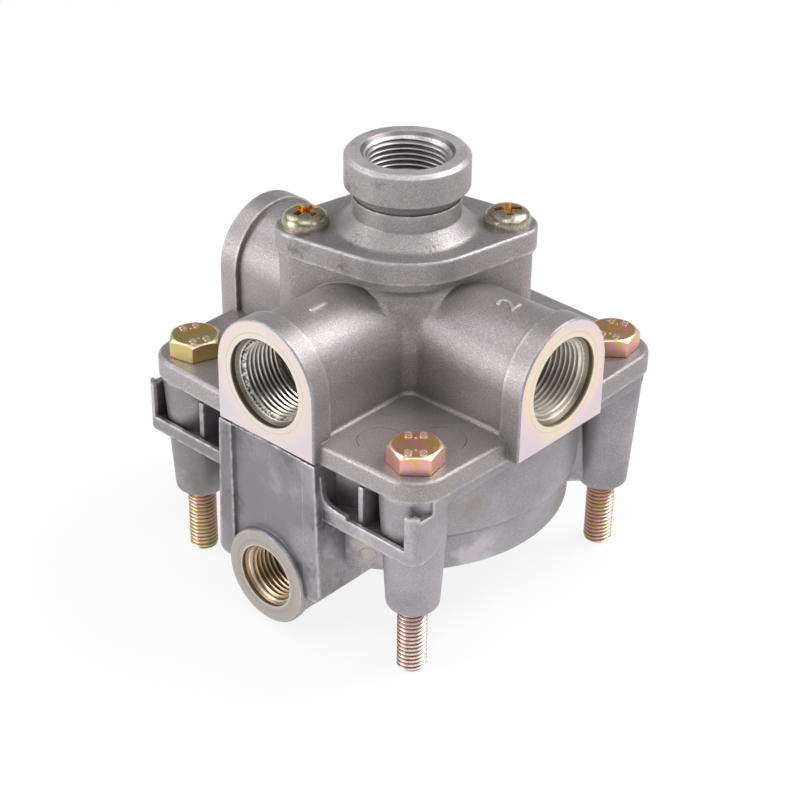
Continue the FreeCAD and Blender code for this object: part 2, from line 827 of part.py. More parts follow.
def add_panel(body):
    """Add the flat front panel with its sunk middle."""
    panel = sketch_on(body, "XZ_Plane", out="panel_reach")
    polygon(
        panel,
        [
            ("-panel_low_half", "panel_bottom"),
            ("panel_low_half", "panel_bottom"),
            ("panel_top_half", "joint_height"),
            ("-panel_top_half", "joint_height"),
        ],
    )
    pad(body, panel, "panel_reach - panel_back", Reversed=True)
    low = amount("panel_bottom")

    def at_foot(edge):
        return lies_flat(edge, low) and near(edge.BoundBox.XMin, edge.BoundBox.XMax)

    dress_edges(body, "Fillet", "panel_foot_round", at_foot)
    recess = sketch_on(body, "XZ_Plane", out="panel_reach")
    polygon(
        recess,
        box_places("-panel_recess_half", "panel_recess_half", "panel_recess_low", "panel_recess_top"),
    )
    pocket(body, recess, "panel_recess_depth")


def add_control_port(body):
    """Add the boss of the control port under the cup, its ring and its stepped bore."""
    boss = sketch_on(body, "XZ_Plane", out="panel_reach")
    circle(boss, "control_boss", ("0", "control_height"))
    pad(body, boss, "panel_reach - control_boss_back", Reversed=True)
    ring = sketch_on(body, "XZ_Plane", out="control_reach")
    circle(ring, "control_ring", ("0", "control_height"))
    pad(body, ring, "control_reach - panel_reach + panel_recess_depth", Reversed=True)
    front = -amount("control_reach")

    def at_mouth(edge):
        return near(edge.BoundBox.YMin, front) and near(edge.BoundBox.YMax, front)

    dress_edges(body, "Chamfer", "face_chamfer", at_mouth)
    bore = sketch_on(body, "YZ_Plane", up="control_height")
    outline = port_outline(
        "control_reach",
        "control_mouth",
        "control_bore",
        "control_thread",
        "control_passage",
        "riser_offset - control_passage / 2",
        "control_relief",
    )
    polygon(bore, [("-" + along, out) for along, out in outline])
    groove(body, bore, "H_Axis")


def cut_control_chamber(body):
    """Cut the piston chamber, the riser from the control port, the seal groove and the bolt holes."""
    wall = "cup_bore / 2"
    turned_cut(body, [("0", "cup_floor"), (wall, "cup_floor"), (wall, "joint_height"), ("0", "joint_height")])
    riser = sketch_on(body, "XY_Plane", out="cup_floor")
    circle(riser, "riser_radius", ("0", "-riser_offset"))
    pocket(body, riser, "cup_floor - control_height")
    groove_floor = "joint_height - housing_groove_depth"
    ring_groove(body, "housing_groove_inner", "housing_groove_width", "joint_height", groove_floor)
    holes = sketch_on(body, "XY_Plane", out="joint_height")
    for place in corner_squares("bolt_pitch / 2"):
        circle(holes, "bolt_hole / 2", place)
    pocket(body, holes, "joint_height + overcut")


def make_top_cover():
    """Make the two-screw cover with its threaded exhaust neck."""
    body = new_body("top_cover")
    plate = sketch_on(body, "XY_Plane", out="seat_height")
    eared_disc(plate, "cover_radius", "cover_ear", "screw_offset")
    pad(body, plate, "cover_thickness")
    dress_edges(body, "Chamfer", "cover_edge", lambda edge: lies_flat(edge, amount("cover_top")))
    collar_low = "(neck_height - neck_collar_height)"
    groove_low = "(%s - neck_groove_height)" % collar_low
    neck = sketch_on(body, "XZ_Plane")
    polygon(
        neck,
        [
            ("0", "seat_height"),
            ("neck_radius + neck_flare", "seat_height"),
            ("neck_radius + neck_flare", "cover_top"),
            ("neck_radius", "cover_top + neck_flare"),
            ("neck_radius", groove_low),
            ("neck_radius - neck_groove_depth", groove_low),
            ("neck_radius - neck_groove_depth", collar_low),
            ("neck_collar_radius - neck_chamfer", collar_low),
            ("neck_collar_radius", collar_low + " + neck_chamfer"),
            ("neck_collar_radius", "neck_height - neck_chamfer"),
            ("neck_collar_radius - neck_chamfer", "neck_height"),
            ("0", "neck_height"),
        ],
    )
    turn(body, neck)
    foot = amount("neck_radius + neck_flare")

    def at_neck(edge):
        return lies_flat(edge, amount("cover_top")) and near(edge.BoundBox.XMax, foot)

    dress_edges(body, "Fillet", "neck_round", at_neck)
    cone_low = "(neck_height - (neck_mouth - port_bore) / 2)"
    turned_cut(
        body,
        [
            ("0", "neck_height"),
            ("neck_mouth / 2", "neck_height"),
            ("port_bore / 2", cone_low),
            ("port_bore / 2", "neck_height - neck_thread"),
            ("cover_cavity / 2", "neck_height - neck_thread"),
            ("cover_cavity / 2", "seat_height"),
            ("0", "seat_height"),
        ],
    )
    holes = sketch_on(body, "XY_Plane", out="seat_height")
    for place in (("screw_offset", "screw_offset"), ("-screw_offset", "-screw_offset")):
        circle(holes, "screw_hole / 2", place)
    pocket(body, holes, "cover_thickness", Reversed=True)
    return body


def make_mounting_bolts():
    """Make the four long hexagon bolts, whose ends below the housing are the mounting studs."""
    body = new_body("mounting_bolts")
    half = "bolt_pitch / 2"
    head = sketch_on(body, "XY_Plane", across=half, up="-" + half, out="flange_top")
    corners = []
    for side in range(6):
        angle = "(hex_turn + %d)" % (30 + 60 * side)
        corner = "hex_flats / 2 / cos(30)"
        corners.append((corner + " * cos" + angle, corner + " * sin" + angle))
    polygon(head, corners)
    first = pad(body, head, "hex_height")
    shank = sketch_on(body, "XY_Plane", across=half, up="-" + half)
    circle(shank, "bolt_shank / 2")
    second = pad(body, shank, "flange_top")
    stud = sketch_on(body, "XY_Plane", across=half, up="-" + half)
    circle(stud, "bolt_size / 2")
    third = pad(body, stud, "stud_reach", Reversed=True)
    tip = sketch_on(body, "XZ_Plane", across=half, out=half)
    polygon(
        tip,
        [
            ("bolt_size / 2 - stud_chamfer", "-stud_reach"),
            ("bolt_size / 2 + overcut", "-stud_reach"),
            ("bolt_size / 2 + overcut", "-stud_reach + stud_chamfer + overcut"),
        ],
    )
    fourth = groove(body, tip)
    crown = sketch_on(body, "XZ_Plane", across=half, out=half)
    head_top = "(flange_top + hex_height)"
    fall = "(hex_flats / 2 * tan(30))"
    polygon(
        crown,
        [
            ("hex_flats / 2 * crown_share", head_top),
            ("hex_flats", head_top),
            ("hex_flats", head_top + " - " + fall),
        ],
    )
    fifth = groove(body, crown)
    around(body, [first, second, third, fourth, fifth], "stud_count")
    return body


def make_cover_screws():
    """Make the two pan-head screws with a cross recess that hold the cover down."""
    body = new_body("cover_screws")
    profile = sketch_on(body, "XZ_Plane", across="screw_offset", out="-screw_offset")
    head_top = "(cover_top + screw_head_height)"
    shank_low = "(cover_top - screw_length)"
    polygon(
        profile,
        [
            ("0", shank_low),
            ("screw_size / 2 - screw_clearance - screw_point", shank_low),
            ("screw_size / 2 - screw_clearance", shank_low + " + screw_point"),
            ("screw_size / 2 - screw_clearance", "cover_top"),
            ("screw_head / 2", "cover_top"),
            ("screw_head / 2", head_top),
            ("0", head_top),
        ],
    )
    shape = turn(body, profile)
    recess = sketch_on(body, "XY_Plane", across="screw_offset", up="screw_offset", out=head_top)
    arm, half = "cross_length / 2", "cross_width / 2"
    quarter = [("-" + half, "-" + arm), (half, "-" + arm), (half, "-" + half)]
    turned = [("-(%s)" % up, across) for across, up in quarter]
    opposite = [("-(%s)" % across, "-(%s)" % up) for across, up in quarter]
    last = [(up, "-(%s)" % across) for across, up in quarter]
    polygon(recess, quarter + turned + opposite + last)
    around(body, [shape, pocket(body, recess, "cross_depth")], "screw_count")
    rim = amount("screw_head") * 3
    dress_edges(
        body, "Fillet", "screw_head_round", lambda edge: lies_flat(edge, amount(head_top)) and edge.Length > rim
    )
    return body


def make_relay_piston():
    """Make the ribbed control piston with its two ring grooves and the exhaust seat on its hub."""
    rim_top = "(piston_low + piston_rim)"
    rim_inner = "(piston_diameter / 2 - piston_rim_wall)"
    hub_top = "(seat_plane - exhaust_gap)"
    body = turned_piece(
        "relay_piston",
        [
            ("0", "cup_floor"),
            ("stop_radius", "cup_floor"),
            ("stop_radius", "web_low"),
            (rim_inner, "web_low"),
            (rim_inner, "piston_low"),
            ("piston_diameter / 2", "piston_low"),
            ("piston_diameter / 2", rim_top),
            (rim_inner, rim_top),
            (rim_inner, "web_top"),
            ("hub_radius", "web_top"),
            ("hub_radius", hub_top),
            ("hub_radius - exhaust_lip", hub_top),
            ("hub_radius - exhaust_lip", hub_top + " - exhaust_recess"),
            ("0", hub_top + " - exhaust_recess"),
        ],
    )
    rib = sketch_on(body, "XZ_Plane", out="-piston_rib_thickness / 2")
    polygon(
        rib,
        [
            ("hub_radius - overlap", "web_top - overlap"),
            (rim_inner + " + overlap", "web_top - overlap"),
            (rim_inner + " + overlap", "web_top + piston_rib_foot"),
            ("piston_spring_radius + piston_spring_wire", "web_top"),
            ("piston_spring_radius - piston_spring_wire", "web_top"),
            ("hub_radius - overlap", "web_top + piston_rib_height"),
        ],
    )
    around(body, [pad(body, rib, "piston_rib_thickness")], "piston_ribs")
    seal_low = "(piston_low + piston_seal_rise)"
    seal_high = "(%s + piston_seal_section + groove_slack)" % seal_low
    outside = "(piston_diameter / 2 + overcut)"
    seal_floor = "(cup_bore / 2 - 2 * ring_clearance - piston_seal_section)"
    cut_ring(body, seal_floor, outside, seal_low, seal_high)
    guide_low = "(piston_low + guide_ring_rise)"
    guide_high = "(%s + guide_ring_height + 2 * ring_clearance)" % guide_low
    guide_floor = "(cup_bore / 2 - 2 * ring_clearance - guide_ring_thickness)"
    cut_ring(body, guide_floor, outside, guide_low, guide_high)
    return body


def make_piston_rings():
    """Make the piston's rubber seal and its plastic guide ring."""
    seal_middle = "(piston_low + piston_seal_rise + (piston_seal_section + groove_slack) / 2)"
    seal_radius = "cup_bore / 2 - ring_clearance - piston_seal_section / 2"
    seal = seal_ring("piston_seal", "piston_seal_section", seal_radius, seal_middle)
    low = "(piston_low + guide_ring_rise + ring_clearance)"
    high = "(%s + guide_ring_height)" % low
    inner = "(cup_bore / 2 - ring_clearance - guide_ring_thickness)"
    outer = "(cup_bore / 2 - ring_clearance)"
    guide = turned_piece("piston_guide_ring", [(inner, low), (outer, low), (outer, high), (inner, high)])
    return [seal, guide]


def make_valve():
    """Make the inlet and exhaust valve: hollow stem, rubber disc and the pressed cup that holds the disc."""
    bore = "stem_bore / 2"
    stem_top = "(stem_seat + stem_length)"
    stem = turned_piece(
        "valve_stem",
        [
            (bore, "disc_top"),
            ("disc_radius", "disc_top"),
            ("disc_radius", "stem_seat"),
            ("stem_radius", "stem_seat"),
            ("stem_radius", stem_top),
            (bore, stem_top),
        ],
    )
    low, high = "seat_plane", "disc_top"
    disc = turned_piece("valve_disc", [(bore, low), ("disc_radius", low), ("disc_radius", high), (bore, high)])
    cup_low = "(disc_top - cup_drop)"
    cup = turned_piece(
        "disc_cup",
        [
            ("disc_radius", cup_low),
            ("disc_radius + cup_sheet", cup_low),
            ("disc_radius + cup_sheet", "spring_seat"),
            ("disc_radius - cup_lap", "spring_seat"),
            ("disc_radius - cup_lap", "stem_seat"),
            ("disc_radius", "stem_seat"),
        ],
    )
    return [stem, disc, cup]


def make_valve_guide():
    """Make the guide that closes the valve chamber and carries the stem, with its two seals."""
    bore = "(stem_radius + guide_clearance)"
    outer = "(guide_bore / 2 - guide_clearance)"
    top = "(seat_height + guide_tube_rise)"
    body = turned_piece(
        "valve_guide",
        [
            (bore, "guide_ledge - guide_skirt"),
            ("guide_tube", "guide_ledge - guide_skirt"),
            ("guide_tube", "guide_ledge"),
            (outer, "guide_ledge"),
            (outer, "seat_height"),
            ("guide_tube", "seat_height"),
            ("guide_tube", top),
            (bore, top),
        ],
    )
    stem_half = "((stem_seal_section + groove_slack) / 2)"
    stem_floor = "(stem_radius + 2 * guide_clearance + stem_seal_section)"
    cut_ring(body, bore + " - overcut", stem_floor, "guide_middle - " + stem_half, "guide_middle + " + stem_half)
    guide_half = "((guide_seal_section + groove_slack) / 2)"
    guide_floor = "(guide_bore / 2 - 2 * guide_clearance - guide_seal_section)"
    outside = outer + " + overcut"
    cut_ring(body, guide_floor, outside, "guide_middle - " + guide_half, "guide_middle + " + guide_half)
    stem_ring = "stem_radius + guide_clearance + stem_seal_section / 2"
    stem_seal = seal_ring("stem_seal", "stem_seal_section", stem_ring, "guide_middle")
    guide_ring = "guide_bore / 2 - guide_clearance - guide_seal_section / 2"
    guide_seal = seal_ring("guide_seal", "guide_seal_section", guide_ring, "guide_middle")
    return [body, stem_seal, guide_seal]


def make_face_seals():
    """Make the two rings that seal the cover and the housing against the body casting."""
    cover = seal_ring(
        "cover_seal",
        "cover_seal_section",
        "seal_groove_inner + seal_groove_width / 2",
        "seat_height - cover_seal_section / 2",
    )
    housing = seal_ring(
        "housing_seal",
        "housing_seal_section",
        "housing_groove_inner + housing_groove_width / 2",
        "joint_height - housing_seal_section / 2",
    )
    return [cover, housing]


def make_springs():
    """Make the spring that returns the piston and the one that closes the inlet valve."""
    piston_spring = coil_spring(
        "piston_spring",
        "piston_spring_radius",
        "piston_spring_wire",
        "web_top",
        "(joint_height + spring_recess_depth)",
        "piston_spring_turns",
    )
    valve_spring = coil_spring(
        "valve_spring",
        "valve_spring_radius",
        "valve_spring_wire",
        "spring_seat",
        "guide_ledge",
        "valve_spring_turns",
    )
    return [piston_spring, valve_spring]


def export_pieces(pieces):
    """Check every object and sub-part of the document, then write one file for each sub-part."""
    doc.recompute()
    for item in doc.Objects:
        if "Invalid" in item.State or "Error" in item.State:
            raise ValueError("%s failed: %s" % (item.Name, item.State))
    for piece in pieces:
        if piece.Shape.isNull() or not piece.Shape.isValid() or not piece.Shape.Solids:
            raise ValueError("%s has no sound solid" % piece.Label)
    os.makedirs("parts", exist_ok=True)
    for piece in pieces:
        piece.Shape.exportStep(os.path.join("parts", piece.Label + ".step"))


castings = [make_body_casting(), make_top_cover(), make_control_housing()]
fasteners = [make_mounting_bolts(), make_cover_screws()]
piston_pieces = [make_relay_piston()] + make_piston_rings()
export_pieces(
    castings + fasteners + piston_pieces + make_valve() + make_valve_guide() + make_face_seals() + make_springs()
)
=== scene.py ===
import math

import bmesh
import bpy
from bpy.props import FloatProperty, FloatVectorProperty, IntProperty, PointerProperty
from mathutils import Matrix, Vector


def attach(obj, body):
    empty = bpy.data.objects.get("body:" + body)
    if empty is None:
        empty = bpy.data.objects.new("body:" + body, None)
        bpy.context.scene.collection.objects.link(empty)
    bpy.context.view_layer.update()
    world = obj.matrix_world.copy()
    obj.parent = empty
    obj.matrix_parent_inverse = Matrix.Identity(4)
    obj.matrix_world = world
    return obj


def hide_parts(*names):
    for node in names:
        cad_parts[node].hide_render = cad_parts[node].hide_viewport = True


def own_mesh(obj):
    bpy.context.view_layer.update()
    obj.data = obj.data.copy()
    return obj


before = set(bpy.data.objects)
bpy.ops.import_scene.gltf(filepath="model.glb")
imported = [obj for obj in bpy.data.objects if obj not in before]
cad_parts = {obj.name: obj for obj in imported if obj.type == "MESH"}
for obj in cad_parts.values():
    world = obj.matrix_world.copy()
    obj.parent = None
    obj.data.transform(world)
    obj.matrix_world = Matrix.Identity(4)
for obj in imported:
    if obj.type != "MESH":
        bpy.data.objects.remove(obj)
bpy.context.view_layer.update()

bl_info = {
    "name": "Relay valve looks",
    "version": (1, 0, 0),
    "blender": (4, 5, 0),
    "location": "3D View > Sidebar > Relay valve",
    "description": "Builds the visible pieces, finishes and studio of a cast relay valve around its frame",
    "category": "Object",
}

MM = 0.001
HOUSING = "housing"
UPWARD = Vector((0.0, 0.0, 1.0))

# Heights, offsets and radii of the frame, in millimetres
FLANGE_TOP = 43.4
COVER_TOP = 81.0
PORT_HEIGHT = 54.9
BOLT_OFFSET = 40.0
SCREW_OFFSET = 18.7
STUD_REACH = 20.2
BOSS_RADIUS = 15.8
CUP_RADIUS = 46.15

# How near two corners have to lie to become one, in metres
NEAR_CORNERS = 0.000002
SAME_CORNER = 0.000001


# Sizes and colours that a user may change


class CastingLooks(bpy.types.PropertyGroup):
    """Colours and surface of the three castings."""

    upper_colour: FloatVectorProperty(
        name="Upper casting", description="Colour of the blasted upper casting",
        subtype="COLOR", default=(0.375, 0.343, 0.349), min=0.0, max=1.0,
    )
    cover_colour: FloatVectorProperty(
        name="Cover", description="Colour of the exhaust cover",
        subtype="COLOR", default=(0.365, 0.338, 0.344), min=0.0, max=1.0,
    )
    lower_colour: FloatVectorProperty(
        name="Lower casting", description="Colour of the control housing",
        subtype="COLOR", default=(0.365, 0.338, 0.358), min=0.0, max=1.0,
    )
    grain: FloatProperty(
        name="Grain", description="Size of the blasted grain",
        subtype="DISTANCE", unit="LENGTH", default=0.00035, min=0.00005, precision=5,
    )
    edge_width: FloatProperty(
        name="Edge rounding", description="Width of the rounded cast edges",
        subtype="DISTANCE", unit="LENGTH", default=0.0006, min=0.0, precision=5,
    )
    digit_height: FloatProperty(
        name="Port number height", description="Height of the cast port numbers",
        subtype="DISTANCE", unit="LENGTH", default=0.0062, min=0.001, precision=4,
    )


class ThreadSizes(bpy.types.PropertyGroup):
    """Sizes of the threads in the ports and on the studs."""

    port_pitch: FloatProperty(
        name="Port pitch", description="Pitch of all the port threads",
        unit="LENGTH", default=0.0015, min=0.0005, precision=5,
    )
    port_crest: FloatProperty(
        name="Port crest radius", description="Crest radius of the large ports",
        unit="LENGTH", default=0.0102, precision=5,
    )
    control_crest: FloatProperty(
        name="Control crest radius", description="Crest radius of the control port",
        unit="LENGTH", default=0.00725, precision=5,
    )
    depth: FloatProperty(
        name="Thread depth", description="Depth of the port threads",
        unit="LENGTH", default=0.00082, precision=5,
    )
    stud_pitch: FloatProperty(
        name="Stud pitch", description="Pitch of the stud threads",
        unit="LENGTH", default=0.00125, precision=5,
    )
    stud_depth: FloatProperty(
        name="Stud thread depth", description="Depth of the stud threads",
        unit="LENGTH", default=0.00068, precision=5,
    )
    segments: IntProperty(name="Segments", description="Steps around a thread", default=96, min=24, max=256)
    rows: IntProperty(name="Rows", description="Rows of faces in one pitch", default=10, min=6, max=24)


class FastenerLooks(bpy.types.PropertyGroup):
    """Sizes and finish of the bolts and the cover screws."""

    flats: FloatProperty(
        name="Across flats", description="Width of the hexagon heads",
        unit="LENGTH", default=0.013, precision=4,
    )
    head_height: FloatProperty(
        name="Head height", description="Height of the hexagon heads",
        unit="LENGTH", default=0.0053, precision=4,
    )
    screw_head: FloatProperty(
        name="Screw head", description="Diameter of the pan heads",
        unit="LENGTH", default=0.0126, precision=4,
    )
    screw_height: FloatProperty(
        name="Screw head height", description="Height of the pan heads",
        unit="LENGTH", default=0.0042, precision=4,
    )
    gold: FloatVectorProperty(
        name="Gold", description="Yellow of the passivated zinc",
        subtype="COLOR", default=(0.72, 0.50, 0.17), min=0.0, max=1.0,
    )
    rose: FloatVectorProperty(
        name="Rose", description="Pink of the passivated zinc",
        subtype="COLOR", default=(0.88, 0.43, 0.47), min=0.0, max=1.0,
    )
    green: FloatVectorProperty(
        name="Green", description="Green of the passivated zinc",
        subtype="COLOR", default=(0.52, 0.53, 0.22), min=0.0, max=1.0,
    )


class StudioSettings(bpy.types.PropertyGroup):
    """Camera and lamps."""

    camera_place: FloatVectorProperty(
        name="Camera place", description="Where the camera stands",
        subtype="TRANSLATION", default=(0.30784, -0.34379, 0.30731), precision=5,
    )
    azimuth: FloatProperty(
        name="Azimuth", description="Turn of the camera around the valve",
        subtype="ANGLE", default=math.radians(41.974),
    )
    elevation: FloatProperty(
        name="Elevation", description="Tilt of the camera down to the valve",
        subtype="ANGLE", default=math.radians(31.285),
    )
    roll: FloatProperty(
        name="Roll", description="Roll of the camera", subtype="ANGLE", default=math.radians(0.857)
    )
    focal_length: FloatProperty(
        name="Focal length", description="Lens in millimetres", default=88.1, min=10.0
    )
    left_power: FloatProperty(name="Left lamp", description="Watts of the low left soft box", default=4.0)
    right_power: FloatProperty(name="Right lamp", description="Watts of the high right soft box", default=5.6)
    rear_power: FloatProperty(name="Rear lamp", description="Watts of the rear left soft box", default=2.2)
    front_power: FloatProperty(name="Front lamp", description="Watts of the front soft box", default=1.4)
    top_power: FloatProperty(name="Top lamp", description="Watts of the high front soft box", default=1.6)
    sky: FloatProperty(name="Sky", description="Strength of the surroundings overhead", default=0.28, min=0.0)


# Building nodes


class Nodes:
    """A short way to add and join the nodes of one tree."""

    def __init__(self, tree):
        self.tree = tree

    def join(self, socket, source):
        """Link a socket to another one, or set it, where three numbers make a colour."""
        if isinstance(source, bpy.types.NodeSocket):
            self.tree.links.new(source, socket)
        elif socket.type == "RGBA":
            socket.default_value = (*source, 1.0)
        else:
            socket.default_value = source

    def fill(self, sockets, sources):
        """Join several sockets, found by name or number."""
        for key, source in sources.items():
            self.join(sockets[key], source)

    def gather(self, socket, pieces):
        """Link several pieces to one socket that takes them all."""
        for piece in pieces:
            self.tree.links.new(piece, socket)

    def add(self, kind, inputs=None, **settings):
        node = self.tree.nodes.new(kind)
        for name, setting in settings.items():
            setattr(node, name, setting)
        self.fill(node.inputs, inputs or {})
        return node

    def give(self, kind, inputs=None, **settings):
        """Add a node and give its first output."""
        return self.add(kind, inputs, **settings).outputs[0]

    def math(self, operation, *sources, clamp=False):
        return self.give("ShaderNodeMath", dict(enumerate(sources)), operation=operation, use_clamp=clamp)

    def plus(self, first, second):
        return self.math("ADD", first, second)

    def minus(self, first, second, clamp=False):
        return self.math("SUBTRACT", first, second, clamp=clamp)

    def times(self, first, second, clamp=False):
        return self.math("MULTIPLY", first, second, clamp=clamp)

    def over(self, first, second, clamp=False):
        return self.math("DIVIDE", first, second, clamp=clamp)

    def vector(self, operation, *sources, output=0):
        return self.add("ShaderNodeVectorMath", dict(enumerate(sources)), operation=operation).outputs[output]

    def xyz(self, x=0.0, y=0.0, z=0.0):
        return self.give("ShaderNodeCombineXYZ", {0: x, 1: y, 2: z})

    def split(self, vector):
        return self.add("ShaderNodeSeparateXYZ", {0: vector}).outputs

    def remap(self, source, low, high, new_low=0.0, new_high=1.0):
        """Carry a range over to a new one and stop at its ends."""
        inputs = {"Value": source, "From Min": low, "From Max": high, "To Min": new_low, "To Max": new_high}
        return self.give("ShaderNodeMapRange", inputs)

    def mix(self, share, first, second, blend="MIX"):
        """Mix two colours."""
        inputs = {0: share, 6: first, 7: second}
        return self.add("ShaderNodeMix", inputs, data_type="RGBA", blend_type=blend).outputs[2]

    def tinted(self, colour, level):
        """Make a colour lighter or darker by a level."""
        grey = self.give("ShaderNodeCombineColor", {0: level, 1: level, 2: level})
        return self.mix(1.0, colour, grey, "MULTIPLY")

    def place(self):
        """Give the place on the piece, in its own coordinates."""
        return self.add("ShaderNodeTexCoord").outputs["Object"]

    def noise(self, place, scale, detail, distortion=0.0):
        inputs = {"Vector": place, "Scale": scale, "Detail": detail, "Distortion": distortion}
        return self.give("ShaderNodeTexNoise", inputs)

    def attribute(self, name):
        return self.add("ShaderNodeAttribute", attribute_name=name).outputs["Fac"]

    def openness(self, distance, inside=False):
        """Give how much room there is around a place, or inside the metal under it."""
        settings = {"samples": 6, "inside": inside, "only_local": True}
        return self.add("ShaderNodeAmbientOcclusion", {"Distance": distance}, **settings).outputs["AO"]

    def bump(self, height, distance, strength, **more):
        inputs = {"Height": height, "Distance": distance, "Strength": strength, **more}
        return self.give("ShaderNodeBump", inputs)

    def choose(self, test, if_false, if_true):
        inputs = {"Switch": test, "False": if_false, "True": if_true}
        return self.give("GeometryNodeSwitch", inputs, input_type="FLOAT")

    def above(self, first, second):
        settings = {"data_type": "FLOAT", "operation": "GREATER_THAN"}
        return self.give("FunctionNodeCompare", {0: first, 1: second}, **settings)

    def moved(self, geometry, **inputs):
        """Move, turn or scale a geometry."""
        return self.give("GeometryNodeTransform", {"Geometry": geometry, **inputs})

    def mark(self, geometry, name, value, domain):
        """Store a number under a name on a geometry."""
        inputs = {"Geometry": geometry, "Name": name, "Value": value}
        return self.give("GeometryNodeStoreNamedAttribute", inputs, domain=domain, data_type="FLOAT")

    def finish(self, result, geometry, material):
        """Put out a geometry with its instances made real and its material set."""
        whole = self.give("GeometryNodeRealizeInstances", {"Geometry": geometry})
        whole = self.give("GeometryNodeSetMaterial", {"Geometry": whole, "Material": material})
        self.join(result["Geometry"], whole)


INPUT_SOCKETS = {
    float: "NodeSocketFloat",
    int: "NodeSocketInt",
    tuple: "NodeSocketColor",
    Vector: "NodeSocketVector",
    type(None): "NodeSocketMaterial",
}
OUTPUT_SOCKETS = {"Colour": "NodeSocketColor", "Geometry": "NodeSocketGeometry"}


def new_tree(name, inputs, outputs, kind="ShaderNodeTree"):
    """Start a node group with sockets made from the inputs' defaults and the outputs' names."""
    tree = bpy.data.node_groups.new(name, kind)
    for label, default in inputs.items():
        socket_type = INPUT_SOCKETS[type(default)]
        socket = tree.interface.new_socket(name=label, in_out="INPUT", socket_type=socket_type)
        if default is not None:
            socket.default_value = default
    for label in outputs:
        socket_type = OUTPUT_SOCKETS.get(label, "NodeSocketFloat")
        tree.interface.new_socket(name=label, in_out="OUTPUT", socket_type=socket_type)
    nodes = Nodes(tree)
    return tree, nodes, nodes.add("NodeGroupInput").outputs, nodes.add("NodeGroupOutput").inputs


def new_geometry_tree(name, inputs):
    return new_tree(name, inputs, ["Geometry"], "GeometryNodeTree")


# Shader groups that the finishes share


def ragged_patch_group():
    """Mask of one ragged mark around a place on the surface."""
    inputs = {"Centre": Vector(), "Radius": 0.005, "Grit": 600.0, "Cover": 0.5}
    tree, nodes, given, result = new_tree("Ragged patch", inputs, ["Mask"])
    place = nodes.place()
    away = nodes.vector("LENGTH", nodes.vector("SUBTRACT", place, given["Centre"]), output=1)
    inside = nodes.minus(1.0, nodes.over(away, given["Radius"]), clamp=True)
    ragged = nodes.times(nodes.minus(nodes.noise(place, given["Grit"], 6.0), 0.5), 2.2)
    low = nodes.minus(0.8, given["Cover"])
    mask = nodes.remap(nodes.plus(inside, ragged), low, nodes.plus(low, 0.5))
    nodes.join(result["Mask"], nodes.times(mask, nodes.remap(inside, 0.0, 0.12)))
    return tree


def scratch_group():
    """Mask of fine straight scratches that run along a stretched direction."""
    inputs = {"Stretch": Vector((1.0, 1.0, 0.06)), "Scale": 1800.0, "Amount": 0.5}
    tree, nodes, given, result = new_tree("Fine scratches", inputs, ["Mask"])
    place = nodes.place()
    lines = nodes.noise(nodes.vector("MULTIPLY", place, given["Stretch"]), given["Scale"], 1.0)
    patches = nodes.noise(place, 130.0, 3.0)
    mask = nodes.times(nodes.remap(lines, 0.64, 0.76), nodes.remap(patches, 0.48, 0.66))
    nodes.join(result["Mask"], nodes.times(mask, given["Amount"]))
    return tree


def blasted_grain_group():
    """Fine sparkling grain with painted glints and slow blotches, as on shot-blasted light alloy."""
    inputs = {
        "Colour": (0.5, 0.5, 0.5, 1.0),
        "Grain": 0.00035,
        "Contrast": 0.5,
        "Blotches": 0.3,
        "Roughness": 0.5,
    }
    tree, nodes, given, result = new_tree("Blasted grain", inputs, ["Colour", "Roughness", "Height"])
    place = nodes.place()
    scale = nodes.over(1.0, given["Grain"])
    fine = nodes.noise(place, scale, 3.0)
    cells = nodes.add("ShaderNodeTexVoronoi", {"Vector": place, "Scale": nodes.times(scale, 0.5)})
    sparkle = nodes.remap(fine, 0.6, 0.76)
    blotch = nodes.minus(nodes.noise(place, 90.0, 6.0), 0.5)
    wide = nodes.minus(nodes.noise(place, 28.0, 2.0), 0.5)
    tone = nodes.times(nodes.plus(blotch, wide), given["Blotches"])
    dust = nodes.times(nodes.minus(fine, 0.5), given["Contrast"])
    # The sparkle lightens the colour in fine specks: painted glints.
    glint = nodes.math("MULTIPLY_ADD", sparkle, nodes.times(given["Contrast"], 0.27), 0.97)
    smooth = nodes.minus(given["Roughness"], nodes.times(sparkle, 0.1))
    nodes.fill(result, {
        "Colour": nodes.tinted(given["Colour"], nodes.plus(glint, nodes.plus(tone, dust))),
        "Roughness": nodes.plus(smooth, nodes.times(blotch, 0.12)),
        "Height": nodes.plus(fine, nodes.times(cells.outputs["Distance"], 0.6)),
    })
    return tree


def edge_wear_and_highlight_group():
    """Mask of the outer edges, where handling and tumbling rub the metal bright, and where a painted
    highlight stands in for the light that rounded edges catch.
    """
    tree, nodes, given, result = new_tree("Edge wear and painted highlight", {"Width": 0.0008, "Breakup": 0.5}, ["Mask"])
    edge = nodes.remap(nodes.openness(given["Width"], inside=True), 0.45, 0.92, 1.0, 0.0)
    patches = nodes.noise(nodes.place(), 420.0, 4.0)
    patches = nodes.remap(patches, 0.35, 0.6, nodes.minus(1.0, given["Breakup"]), 1.0)
    nodes.join(result["Mask"], nodes.times(edge, patches, clamp=True))
    return tree


def crevice_shade_group():
    """Mask of the corners and pockets, found by ambient occlusion, that stay dull and dusty and are darkened
    as painted shade.
    """
    tree, nodes, given, result = new_tree("Crevice dust and painted shade", {"Reach": 0.006, "Strength": 0.6}, ["Mask"])
    depth = nodes.remap(nodes.openness(given["Reach"]), 0.25, 0.9, 1.0, 0.0)
    smears = nodes.noise(nodes.place(), 160.0, 6.0)
    depth = nodes.times(depth, nodes.remap(smears, 0.3, 0.7, 0.6, 1.2))
    nodes.join(result["Mask"], nodes.times(depth, given["Strength"], clamp=True))
    return tree


